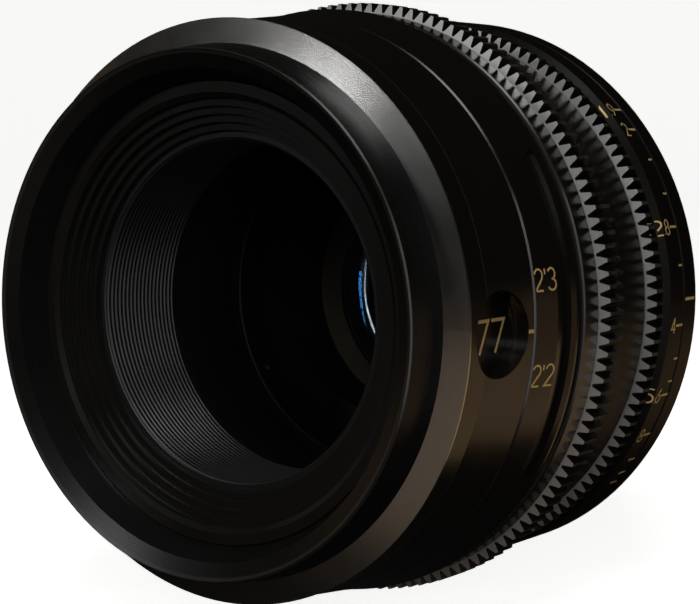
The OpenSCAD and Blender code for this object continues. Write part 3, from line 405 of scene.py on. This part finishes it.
def mesh_from(name, points, faces, smooth=False):
    """A mesh whose faces all look outwards."""
    mesh = bpy.data.meshes.new(name)
    mesh.from_pydata(points, [], faces)
    tidy = bmesh.new()
    tidy.from_mesh(mesh)
    bmesh.ops.recalc_face_normals(tidy, faces=tidy.faces)
    tidy.to_mesh(mesh)
    tidy.free()
    mesh.polygons.foreach_set("use_smooth", [smooth] * len(mesh.polygons))
    return mesh


# Figures, drawn as strokes of even width. Each is a list of paths on a grid one unit tall.

def bow(cx, cy, rx, ry, start, end, steps=14):
    """Points of an arc, in degrees anticlockwise from the right."""
    sweep = [math.radians(start + (end - start) * i / steps) for i in range(steps + 1)]
    return [(cx + rx * math.cos(a), cy + ry * math.sin(a)) for a in sweep]


def lying_eight(half_width, middle, height, steps):
    """Points of the sign for a distance without end, half_width either side of its middle."""
    points = []
    for i in range(steps + 1):
        t = math.tau * i / steps
        pinch = 1 + math.sin(t) ** 2
        points.append((half_width + half_width * math.cos(t) / pinch,
                       middle + height * math.sin(t) * math.cos(t) / pinch))
    return points


FIGURE_WIDTH = 0.56
FIGURES = {
    "1": [[(0.1, 0.8), (0.34, 1.0), (0.34, 0.0)]],
    "2": [bow(0.28, 0.72, 0.28, 0.28, 165, -32) + [(0.0, 0.0), (0.56, 0.0)]],
    "3": [bow(0.27, 0.745, 0.25, 0.255, 155, -90), bow(0.27, 0.255, 0.29, 0.255, 90, -155)],
    "4": [[(0.42, 0.0), (0.42, 1.0), (0.0, 0.27), (0.58, 0.27)]],
    "5": [[(0.5, 1.0), (0.1, 1.0), (0.06, 0.54)] + bow(0.27, 0.31, 0.29, 0.31, 135, -150)],
    "6": [bow(0.28, 0.3, 0.28, 0.3, 0, 360, 24), [(0.42, 1.0), (0.04, 0.42)]],
    "7": [[(0.0, 1.0), (0.56, 1.0), (0.2, 0.0)]],
    "8": [bow(0.28, 0.745, 0.24, 0.255, 0, 360, 24), bow(0.28, 0.255, 0.28, 0.255, 0, 360, 24)],
    "9": [bow(0.28, 0.7, 0.28, 0.3, 0, 360, 24), [(0.14, 0.0), (0.52, 0.58)]],
    "'": [[(0.06, 1.0), (0.06, 0.74)]],
    ".": [[(0.05, 0.0), (0.05, 0.07)]],
    "~": [lying_eight(0.55, 0.45, 0.62, 40)],
}
ADVANCE = {"'": 0.12, ".": 0.1, "~": 1.1}
FIGURE_GAP = 0.14


def written(words, height, stretch=1.0):
    """The paths of some figures and their full width, in millimetres. stretch widens them."""
    paths, across, wide = [], 0.0, height * stretch
    for figure in words:
        paths += [[((x + across) * wide, y * height) for x, y in path] for path in FIGURES[figure]]
        across += ADVANCE.get(figure, FIGURE_WIDTH) + FIGURE_GAP
    return paths, (across - FIGURE_GAP) * wide


def stepped(path, step):
    """The path with points no further apart than step."""
    fine = [path[0]]
    for (x0, y0), (x1, y1) in zip(path, path[1:]):
        parts = max(1, math.ceil(math.hypot(x1 - x0, y1 - y0) / step))
        fine += [(x0 + (x1 - x0) * i / parts, y0 + (y1 - y0) * i / parts) for i in range(1, parts + 1)]
    return fine


# The least cosine at a corner, so that a sharp one doesn't grow a long point
MITRE_LIMIT = 0.5


def stroke_sides(path, half):
    """Points left and right of each point of a path, mitred at its corners."""
    sides = []
    for i, (x, y) in enumerate(path):
        before, after = path[max(i - 1, 0)], path[min(i + 1, len(path) - 1)]
        into = Vector((x - before[0], y - before[1]))
        out = Vector((after[0] - x, after[1] - y))
        into = into.normalized() if into.length > 0 else out.normalized()
        out = out.normalized() if out.length > 0 else into
        along = (into + out).normalized()
        reach = half / max(MITRE_LIMIT, along.dot(out))
        sides.append(((x - along.y * reach, y + along.x * reach),
                      (x + along.y * reach, y - along.x * reach)))
    return sides


FILL_PROUD, FILL_SUNK, STROKE_STEP = 0.03, 0.12, 0.5


def stroke_mesh(name, paths, width, lay):
    """Closed ribbons along the paths. lay(across, up, height) gives a place on their surface."""
    points, faces = [], []
    for path in paths:
        first = len(points)
        sides = stroke_sides(stepped(path, STROKE_STEP), width / 2)
        for left, right in sides:
            points += [lay(*left, FILL_PROUD), lay(*right, FILL_PROUD),
                       lay(*right, -FILL_SUNK), lay(*left, -FILL_SUNK)]
        for i in range(len(sides) - 1):
            here, there = first + 4 * i, first + 4 * i + 4
            faces += [(here + j, here + (j + 1) % 4, there + (j + 1) % 4, there + j) for j in range(4)]
        last = first + 4 * (len(sides) - 1)
        faces += [tuple(range(first, first + 4)), tuple(range(last, last + 4))]
    return mesh_from(name, points, faces)


TREES = {}
# A radius outside every node, where the rays start
RAY_START_R = 70.0


def skin_radius(node, clock, depth):
    """Radius of a node's outer skin there, in millimetres, measured on its own mesh."""
    if node not in TREES:
        TREES[node] = BVHTree.FromObject(frame["nodes"][node], bpy.context.evaluated_depsgraph_get())
    outside = lens_point(clock, RAY_START_R, depth)
    hit = TREES[node].ray_cast(outside, lens_point(clock, 0.0, depth) - outside)[0]
    return math.hypot(hit.x, hit.z) / MM


def on_skin(node, clock, depth):
    """Lays strokes on a turned surface: across runs backwards along the axis, up runs anticlockwise."""
    radius = skin_radius(node, clock, depth)

    def lay(across, up, height):
        turn = clock - math.degrees(up / radius)
        return lens_point(turn, skin_radius(node, turn, depth + across) + height, depth + across)
    return lay


def join_meshes(name, meshes):
    """One mesh of several, which are then removed."""
    whole = bmesh.new()
    for mesh in meshes:
        whole.from_mesh(mesh)
        bpy.data.meshes.remove(mesh)
    joined = bpy.data.meshes.new(name)
    whole.to_mesh(joined)
    whole.free()
    return joined


def figures_on(node, clock, depth, words, height, width, align=0.0):
    """A mesh of figures centred on a clock angle. align is the share of their width ahead of that depth."""
    paths, across = written(words, height)
    middle = [[(x - align * across, y - height / 2) for x, y in path] for path in paths]
    return stroke_mesh("figures", middle, width, on_skin(node, clock, depth))


# Focus scale: the two figures by the index, and the rest of the range on the far side
FOCUS_FIGURE, FOCUS_STROKE, FOCUS_FIGURE_DEPTH = 3.9, 0.36, FOCUS_RING_FRONT + 0.45
FOCUS_MARKS = {"2'3": 82.4, "2'2": 100.0, "3'": 347.5, "3'6": 315.1, "4'": 293.3, "5'": 265.8,
               "6'": 249.2, "8'": 230.0, "12'": 212.5, "25'": 195.8, "~": 181.6}
focus_figures = join_meshes("focus_figures", [
    figures_on("focus_ring", clock, FOCUS_FIGURE_DEPTH, words, FOCUS_FIGURE, FOCUS_STROKE)
    for words, clock in FOCUS_MARKS.items()])
new_piece("focus_figures", focus_figures, "focus_ring", GOLD)

# Iris scale. Beyond the last figure the marks stand too close together for figures.
IRIS_MARKS = {"1.9": 48.3, "2": 53.4, "2.8": 75.0, "4": 94.8, "5.6": 109.4, "8": 118.6, "11": 125.0,
              "16": 128.7, "22": 131.6}
IRIS_HALF_STOPS = (60.6, 68.1, 82.8, 101.7, 106.5)
IRIS_FIGURE, IRIS_STROKE, IRIS_FIGURE_END = 3.0, 0.3, IRIS_RING_END - 3.3
LAST_FIGURE_CLOCK = 122
iris_figures = join_meshes("iris_figures", [
    figures_on("iris_ring", clock, IRIS_FIGURE_END, words, IRIS_FIGURE, IRIS_STROKE, 1.0)
    for words, clock in IRIS_MARKS.items() if clock < LAST_FIGURE_CLOCK])
new_piece("iris_figures", iris_figures, "iris_ring", GOLD)

# Number on the plate at the bottom of the recess
NUMBER_CLOCK, NUMBER_DEPTH = 92.4, 20.7
PLATE_NUMBER, PLATE_STROKE, PLATE_STRETCH = 5.9, 0.62, 1.27
plate_middle = (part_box("number_plate")[0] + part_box("number_plate")[1]) / 2
PLATE_CLOCK = math.degrees(math.atan2(plate_middle[0], plate_middle[2]))
PLATE_TOP = skin_radius("number_plate", PLATE_CLOCK, NUMBER_DEPTH)


def on_plate(across, up, height):
    """Lays strokes on the flat plate, around the number's own middle."""
    a = math.radians(PLATE_CLOCK)
    upwards = Vector((-math.cos(a), 0.0, math.sin(a)))
    drop = PLATE_TOP * math.tan(math.radians(NUMBER_CLOCK - PLATE_CLOCK))
    return lens_point(PLATE_CLOCK, PLATE_TOP + height, NUMBER_DEPTH + across) + upwards * ((up - drop) * MM)


plate_paths, plate_across = written("77", PLATE_NUMBER, PLATE_STRETCH)
plate_paths = [[(x - plate_across / 2, y - PLATE_NUMBER / 2) for x, y in path] for path in plate_paths]
plate_number = stroke_mesh("plate_number", plate_paths, PLATE_STROKE, on_plate)
new_piece("plate_number", plate_number, "housing", GOLD)


# Geometry trees for what repeats

def geometry_tree(name, sizes):
    """A geometry tree with one geometry input and named sizes. Returns its wiring and its input wires."""
    tree = bpy.data.node_groups.new(name, "GeometryNodeTree")
    tree.interface.new_socket("Geometry", in_out="INPUT", socket_type="NodeSocketGeometry")
    for size in sizes:
        tree.interface.new_socket(size, in_out="INPUT", socket_type="NodeSocketFloat")
    tree.interface.new_socket("Geometry", in_out="OUTPUT", socket_type="NodeSocketGeometry")
    wiring = Wiring(tree)
    entry = tree.nodes.new("NodeGroupInput")
    return wiring, {socket.name: Wire(wiring, socket) for socket in entry.outputs if socket.name}


def end_tree(wiring, geometry, material):
    """Ends a tree in real geometry with its material set."""
    real = wiring.node("GeometryNodeRealizeInstances", None, {0: geometry})
    dressed = wiring.node("GeometryNodeSetMaterial", None, {"Geometry": real, "Material": material})
    wiring.node("NodeGroupOutput", None, {0: dressed})
    return wiring.tree


def tick_tree(material):
    """Short bars on the points of a mesh, each turned about the axis by the point's clock attribute."""
    w, given = geometry_tree("scale_ticks", ("Length", "Width", "Height"))
    size = w.node("ShaderNodeCombineXYZ", None, {
        "X": given["Width"], "Y": given["Length"], "Z": given["Height"]})
    bar = w.node("GeometryNodeMeshCube", None, {"Size": size})
    clock = w.node("GeometryNodeInputNamedAttribute", {"data_type": "FLOAT"}, {"Name": "clock"})
    turn = w.node("ShaderNodeCombineXYZ", None, {"X": 0.0, "Y": clock, "Z": 0.0})
    bars = w.node("GeometryNodeInstanceOnPoints", None, {
        "Points": given["Geometry"], "Instance": bar, "Rotation": turn})
    return end_tree(w, bars, material)


THREAD_STEPS, RIDGE_SIDES = 120, 4


def thread_tree(material):
    """A helical ridge about the Y axis, from its middle radius, pitch and turns."""
    w, given = geometry_tree("screw_thread", ("Radius", "Pitch", "Turns", "Ridge", "Start"))
    height = given["Pitch"] * given["Turns"]
    helix = w.node("GeometryNodeCurveSpiral", None, {
        "Resolution": THREAD_STEPS, "Rotations": given["Turns"], "Start Radius": given["Radius"],
        "End Radius": given["Radius"], "Height": height})
    ridge = w.node("GeometryNodeCurvePrimitiveCircle", {"mode": "RADIUS"}, {
        "Resolution": RIDGE_SIDES, "Radius": given["Ridge"]})
    thread = w.node("GeometryNodeCurveToMesh", None, {
        "Curve": helix, "Profile Curve": ridge, "Fill Caps": True})
    middle = w.node("ShaderNodeCombineXYZ", None, {"X": 0.0, "Y": given["Start"], "Z": 0.0})
    placed = w.node("GeometryNodeTransform", None, {
        "Geometry": thread, "Translation": middle, "Rotation": (-math.pi / 2, 0.0, 0.0)})
    return end_tree(w, placed, material)


def grown(name, tree, start_mesh, sizes):
    """The plain mesh that a geometry tree makes from a start mesh and its sizes, in metres."""
    holder = bpy.data.objects.new(name + "_start", start_mesh)
    bpy.context.scene.collection.objects.link(holder)
    grower = holder.modifiers.new("grow", "NODES")
    grower.node_group = tree
    for item in tree.interface.items_tree:
        if item.in_out == "INPUT" and item.name in sizes:
            grower[item.identifier] = sizes[item.name]
    done = holder.evaluated_get(bpy.context.evaluated_depsgraph_get())
    mesh = bpy.data.meshes.new_from_object(done)
    holder.modifiers.remove(grower)
    bpy.data.objects.remove(holder)
    mesh.name = name
    return mesh


def tick_points(node, clocks, depth):
    """Start points of ticks on a node's skin, with their clock angles in radians."""
    mesh = bpy.data.meshes.new("tick_points")
    mesh.from_pydata([lens_point(c, skin_radius(node, c, depth), depth) for c in clocks], [], [])
    turns = mesh.attributes.new("clock", "FLOAT", "POINT")
    turns.data.foreach_set("value", [math.radians(c) for c in clocks])
    return mesh


TICKS = tick_tree(GOLD)
TICK_HEIGHT = 0.12
IRIS_INDEX_CLOCK = 89.7


def ticks(name, node, body, clocks, middle, length, width):
    """A piece of ticks on a node's skin, centred on the depth middle."""
    sizes = {"Length": length * MM, "Width": width * MM, "Height": TICK_HEIGHT * MM}
    mesh = grown(name, TICKS, tick_points(node, clocks, middle), sizes)
    new_piece(name, mesh, body, GOLD)


ticks("iris_stop_ticks", "iris_ring", "iris_ring", list(IRIS_MARKS.values()),
      middle=IRIS_RING_END - 1.55, length=2.6, width=0.5)
ticks("iris_half_ticks", "iris_ring", "iris_ring", IRIS_HALF_STOPS,
      middle=IRIS_RING_END - 1.0, length=1.5, width=0.4)
ticks("iris_index", "rear_barrel", "housing", (IRIS_INDEX_CLOCK,),
      middle=REAR_BARREL_FRONT + 2.4, length=4.0, width=0.6)
ticks("focus_index", "front_barrel", "housing", (FOCUS_INDEX_CLOCK,),
      middle=FOCUS_RING_FRONT - 1.2, length=1.6, width=0.65)

FILTER_R, FILTER_START = 40.95, 10.2
FILTER_PITCH, FILTER_TURNS, FILTER_RIDGE = 0.75, 5, 0.34
thread = grown("filter_thread", thread_tree(INNER), bpy.data.meshes.new("thread_start"), {
    "Radius": FILTER_R * MM, "Pitch": FILTER_PITCH * MM, "Turns": FILTER_TURNS,
    "Ridge": FILTER_RIDGE * MM, "Start": FRONT_Y + FILTER_START * MM})
new_piece("filter_thread", thread, "housing", INNER)


# Mouth: a bright bead and steps that narrow to the grooved light trap

TRAP_FRONT, TRAP_LEAD_IN, TRAP_TAIL = 12.6, 0.4, 0.4
TRAP_END = (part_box("baffle_tube")[1][1] - FRONT_Y) / MM
TRAP_FLANGE_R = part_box("baffle_tube")[1][0] / MM
TRAP_FLANGE_FRONT = (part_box("baffle_tube")[0][1] - FRONT_Y) / MM
TRAP_FLANGE_T, TRAP_OUTER_R, TRAP_LIP_R = 1.7, 37.2, 35.4
GROOVES, GROOVE_PITCH, GROOVE_DEPTH = 17, 1.12, 0.6
# Shares of the pitch at which a groove's crest, side and bed end
GROOVE_CREST, GROOVE_SIDE, GROOVE_BED = 0.45, 0.55, 0.9
MOUTH_STEPS, STEP_RUN, STEP_DROP, STEP_DRAFT = 5, 1.0, 1.5, 0.2
# Radius and depth of the corners in front of the steps and behind them
MOUTH_BEAD = [(43.3, 6.95), (41.3, 6.95), (40.3, 7.6)]
MOUTH_BACK = [(35.5, 12.5), (35.5, 14.2), (40.4, 14.2), (40.4, 9.8), (41.2, 8.5), (42.8, 8.5),
              (43.1, 7.5)]


def trap_profile():
    """The light trap's outline in radius and depth, in millimetres."""
    first = TRAP_FRONT + TRAP_LEAD_IN
    bore = [(TRAP_BORE + TRAP_LEAD_IN, TRAP_FRONT)]
    for i in range(GROOVES):
        depth = first + i * GROOVE_PITCH
        bore += [(TRAP_BORE, depth), (TRAP_BORE, depth + GROOVE_CREST * GROOVE_PITCH),
                 (TRAP_BORE + GROOVE_DEPTH, depth + GROOVE_SIDE * GROOVE_PITCH),
                 (TRAP_BORE + GROOVE_DEPTH, depth + GROOVE_BED * GROOVE_PITCH)]
    last = first + GROOVES * GROOVE_PITCH
    bore += [(TRAP_BORE, last), (TRAP_BORE, last + TRAP_TAIL),
             (TRAP_BORE + 2 * TRAP_TAIL, last + 2 * TRAP_TAIL), (TRAP_BORE + 2 * TRAP_TAIL, TRAP_END)]
    flange_back = TRAP_FLANGE_FRONT + TRAP_FLANGE_T
    outside = [(TRAP_OUTER_R, TRAP_END), (TRAP_OUTER_R, flange_back),
               (TRAP_FLANGE_R, flange_back), (TRAP_FLANGE_R, TRAP_FLANGE_FRONT),
               (TRAP_LIP_R, TRAP_FLANGE_FRONT), (TRAP_LIP_R, TRAP_FRONT)]
    return bore + outside


def steps_profile():
    """The stepped ring's outline in radius and depth, in millimetres."""
    r, depth = MOUTH_BEAD[-1]
    outline = list(MOUTH_BEAD)
    for i in range(MOUTH_STEPS):
        depth += STEP_RUN
        outline.append((r - STEP_DRAFT, min(depth, MOUTH_BACK[0][1])))
        r -= STEP_DROP
        if i < MOUTH_STEPS - 1:
            outline.append((r, depth))
    return outline + MOUTH_BACK


TURNED_SIDES, TURNED_SHARP = 192, math.radians(20)


def turned_solid(name, profile):
    """A closed outline turned about the lens's axis."""
    points, faces, count = [], [], len(profile)
    for k in range(TURNED_SIDES):
        points += [lens_point(360.0 * k / TURNED_SIDES, r, depth) for r, depth in profile]
    for k in range(TURNED_SIDES):
        a, b = k * count, (k + 1) % TURNED_SIDES * count
        faces += [(a + i, a + (i + 1) % count, b + (i + 1) % count, b + i) for i in range(count)]
    mesh = mesh_from(name, points, faces, True)
    mesh.set_sharp_from_angle(angle=TURNED_SHARP)
    return mesh


mouth_steps = turned_solid("mouth_steps", steps_profile())
new_piece("mouth_steps", mouth_steps, "housing", MOUTH)
light_trap = turned_solid("light_trap", trap_profile())
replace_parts(new_piece("light_trap", light_trap, "housing", BAFFLE), "baffle_tube")


# Glass

def dome(radius, r):
    """How far a spherical face falls away at r from its middle."""
    return abs(radius) - math.sqrt(radius * radius - r * r)


GLASS_RINGS, GLASS_SIDES, GLASS_SHARP, RIM_LAND = 28, 144, math.radians(35), 0.5
GLASS_PIECES = bpy.data.collections.new("glass_pieces")


def glass_face(curve, half, domed):
    """Radii along a face and how far each lies inside the element's end. A hollow face has a flat rim."""
    reach = half if domed else half - RIM_LAND
    fall = dome(curve, reach)
    face = []
    for i in range(GLASS_RINGS + 1):
        r = reach * i / GLASS_RINGS
        face.append((r, dome(curve, r) if domed else fall - dome(curve, r)))
    return face if domed else face + [(half, 0.0)]


def glass_piece(node, front, rear):
    """A smooth element in the place of its solid. A radius above 0 has its middle standing forward."""
    low, high = (corner[1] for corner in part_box(node))
    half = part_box(node)[1][0] / MM
    profile = [(r, low + MM * inside) for r, inside in glass_face(front, half, front > 0)]
    profile += [(r, high - MM * inside) for r, inside in reversed(glass_face(rear, half, rear < 0))]
    turns = [math.tau * k / GLASS_SIDES for k in range(GLASS_SIDES)]
    ring = [(math.sin(turn), math.cos(turn)) for turn in turns]
    points = [(0.0, profile[0][1], 0.0)]
    for r, y in profile[1:-1]:
        points += [(r * MM * s, y, r * MM * c) for s, c in ring]
    points.append((0.0, profile[-1][1], 0.0))
    faces = [(0, 1 + k, 1 + (k + 1) % GLASS_SIDES) for k in range(GLASS_SIDES)]
    for i in range(len(profile) - 3):
        a, b = 1 + i * GLASS_SIDES, 1 + (i + 1) * GLASS_SIDES
        faces += [(a + k, b + k, b + (k + 1) % GLASS_SIDES, a + (k + 1) % GLASS_SIDES)
                  for k in range(GLASS_SIDES)]
    end, last = len(points) - 1, 1 + (len(profile) - 3) * GLASS_SIDES
    faces += [(end, last + (k + 1) % GLASS_SIDES, last + k) for k in range(GLASS_SIDES)]
    mesh = mesh_from(node.replace("element", "glass"), points, faces, True)
    mesh.set_sharp_from_angle(angle=GLASS_SHARP)
    piece = new_piece(mesh.name, mesh, "optical_block", GLASS)
    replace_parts(piece, node)
    GLASS_PIECES.objects.link(piece)


# Radii of each element's front and rear face
GLASS_FACES = {
    "element_1": (58, 400), "element_2": (38, 85), "element_3": (150, 60), "element_4": (-30, 70),
    "element_5": (70, -38), "element_6": (150, -60), "element_7": (55, 300),
}
for element, faces_of_glass in GLASS_FACES.items():
    glass_piece(element, *faces_of_glass)


# Studio

def turned_sheet(name, profile, sides):
    """An open sheet turned about the upright line through the lens's middle."""
    middle_y = (cad_box[0][1] + cad_box[1][1]) / 2
    turns = [math.tau * k / sides for k in range(sides)]
    points, faces = [], []
    for r, z in profile:
        points += [(r * math.cos(turn), middle_y + r * math.sin(turn), z) for turn in turns]
    for i in range(len(profile) - 1):
        a, b = i * sides, (i + 1) * sides
        faces += [(a + k, a + (k + 1) % sides, b + (k + 1) % sides, b + k) for k in range(sides)]
    mesh = bpy.data.meshes.new(name)
    mesh.from_pydata(points, [], faces)
    mesh.polygons.foreach_set("use_smooth", [True] * len(mesh.polygons))
    return mesh


FLOOR_Z = cad_box[0][2]
# A flat round floor, in metres, that bends up into a wall
FLOOR_HOLE, FLOOR_NEAR, FLOOR_FLAT, FLOOR_BEND, FLOOR_TOP = 0.001, 0.6, 2.2, 1.2, 4.0
FLOOR_SIDES, BEND_STEPS, BEND_DEGREES = 96, 15, 6
sweep = [(FLOOR_HOLE, 0.0), (FLOOR_NEAR, 0.0), (FLOOR_FLAT, 0.0)]
for i in range(1, BEND_STEPS + 1):
    lean = math.radians(BEND_DEGREES * i)
    sweep.append((FLOOR_FLAT + FLOOR_BEND * math.sin(lean), FLOOR_BEND * (1 - math.cos(lean))))
sweep.append((FLOOR_FLAT + FLOOR_BEND, FLOOR_TOP))
floor_mesh = turned_sheet("floor", [(r, FLOOR_Z + z) for r, z in sweep], FLOOR_SIDES)
floor = bpy.data.objects.new("floor", floor_mesh)
floor.data.materials.append(studio_floor("pale_floor"))
bpy.context.scene.collection.objects.link(floor)
# The dark studio, not the pale floor, is what the black lens mirrors
floor.visible_glossy = False
floor.visible_diffuse = False
floor.visible_transmission = False
floor.visible_shadow = False


def softbox(name, place, aim, width, height, watts, colour):
    """A rectangular lamp that faces a point."""
    lamp = bpy.data.lights.new(name, "AREA")
    lamp.shape = "RECTANGLE"
    lamp.size, lamp.size_y = width, height
    lamp.energy = watts
    lamp.color = colour
    light = bpy.data.objects.new(name, lamp)
    light.location = place
    light.rotation_euler = (aim - place).to_track_quat("-Z", "Y").to_euler()
    bpy.context.scene.collection.objects.link(light)
    return light


LENS_MIDDLE = Vector((0.0, FRONT_Y / 2, 0.0))
LENS_FRONT = Vector((0.0, FRONT_Y, 0.0))


def panel(name, direction, away, size, radiance, colour=(1.0, 1.0, 1.0), aim=LENS_MIDDLE):
    """A softbox in that direction from the lens, as bright as its radiance where the lens mirrors it."""
    width, height = size
    place = aim + Vector(direction).normalized() * away
    return softbox(name, place, aim, width, height, radiance * math.pi * width * height, colour)


WARM, PALE_WARM, COOL = (1.0, 0.64, 0.34), (1.0, 0.76, 0.56), (0.9, 0.95, 1.0)
STUDIO_GLOW = (0.006, 0.0058, 0.0056, 1.0)
panel("key_front_left", (-0.41, -0.845, 0.33), 1.3, (0.2, 0.2), 17.0, aim=LENS_FRONT)
panel("strip_right", (0.8, -0.58, 0.0), 1.2, (0.25, 1.3), 2.5)
panel("above_camera", (0.5, -0.78, 0.38), 1.2, (0.4, 0.3), 4.0)
panel("top_front", (0.25, -0.45, 0.86), 1.1, (0.5, 0.5), 5.0)
panel("warm_behind_low", (0.46, 0.81, -0.37), 1.0, (0.5, 0.42), 0.42, WARM)
panel("warm_right_low", (0.74, 0.61, -0.25), 1.0, (0.35, 0.6), 0.25, WARM)
panel("warm_front_low", (-0.15, -0.93, -0.33), 1.0, (0.7, 0.45), 0.16, PALE_WARM)
panel("warm_left", (-0.95, -0.15, 0.2), 1.0, (0.5, 0.5), 0.2, WARM)
# A narrow window straight ahead, for the glass alone
glint = panel("window_for_glass", (0.08, -0.99, 0.05), 1.0, (0.12, 0.4), 12.0, COOL)
glint.light_linking.receiver_collection = GLASS_PIECES

world = bpy.data.worlds.new("dark_studio")
world.use_nodes = True
world.node_tree.nodes["Background"].inputs["Color"].default_value = STUDIO_GLOW
bpy.context.scene.world = world
bpy.context.scene.view_settings.view_transform = "Standard"

# Camera, from the circles of the lens as the photograph shows them
CAMERA_AZIMUTH, CAMERA_ELEVATION = math.radians(35.85), math.radians(5.02)
# The middle of the front edge as the camera sees it, in metres to its right, downwards and ahead
FRONT_FROM_CAMERA = (-0.02952, 0.00285, 0.3418)
FOCAL_PIXELS, FRAME_PIXELS, SENSOR_MM, CLIP_START = 1864.75, 700, 36.0, 0.01
right = Vector((math.cos(CAMERA_AZIMUTH), math.sin(CAMERA_AZIMUTH), 0.0))
forward = Vector((-math.sin(CAMERA_AZIMUTH) * math.cos(CAMERA_ELEVATION),
                  math.cos(CAMERA_AZIMUTH) * math.cos(CAMERA_ELEVATION), -math.sin(CAMERA_ELEVATION)))
upward = right.cross(forward)
camera = bpy.data.objects.new("camera", bpy.data.cameras.new("camera"))
camera.data.sensor_fit = "HORIZONTAL"
camera.data.sensor_width = SENSOR_MM
camera.data.lens = FOCAL_PIXELS / FRAME_PIXELS * SENSOR_MM
camera.data.clip_start = CLIP_START
across, down, away = FRONT_FROM_CAMERA
camera.location = LENS_FRONT - across * right + down * upward - away * forward
camera.rotation_euler = forward.to_track_quat("-Z", "Y").to_euler()
bpy.context.scene.collection.objects.link(camera)
bpy.context.scene.camera = camera
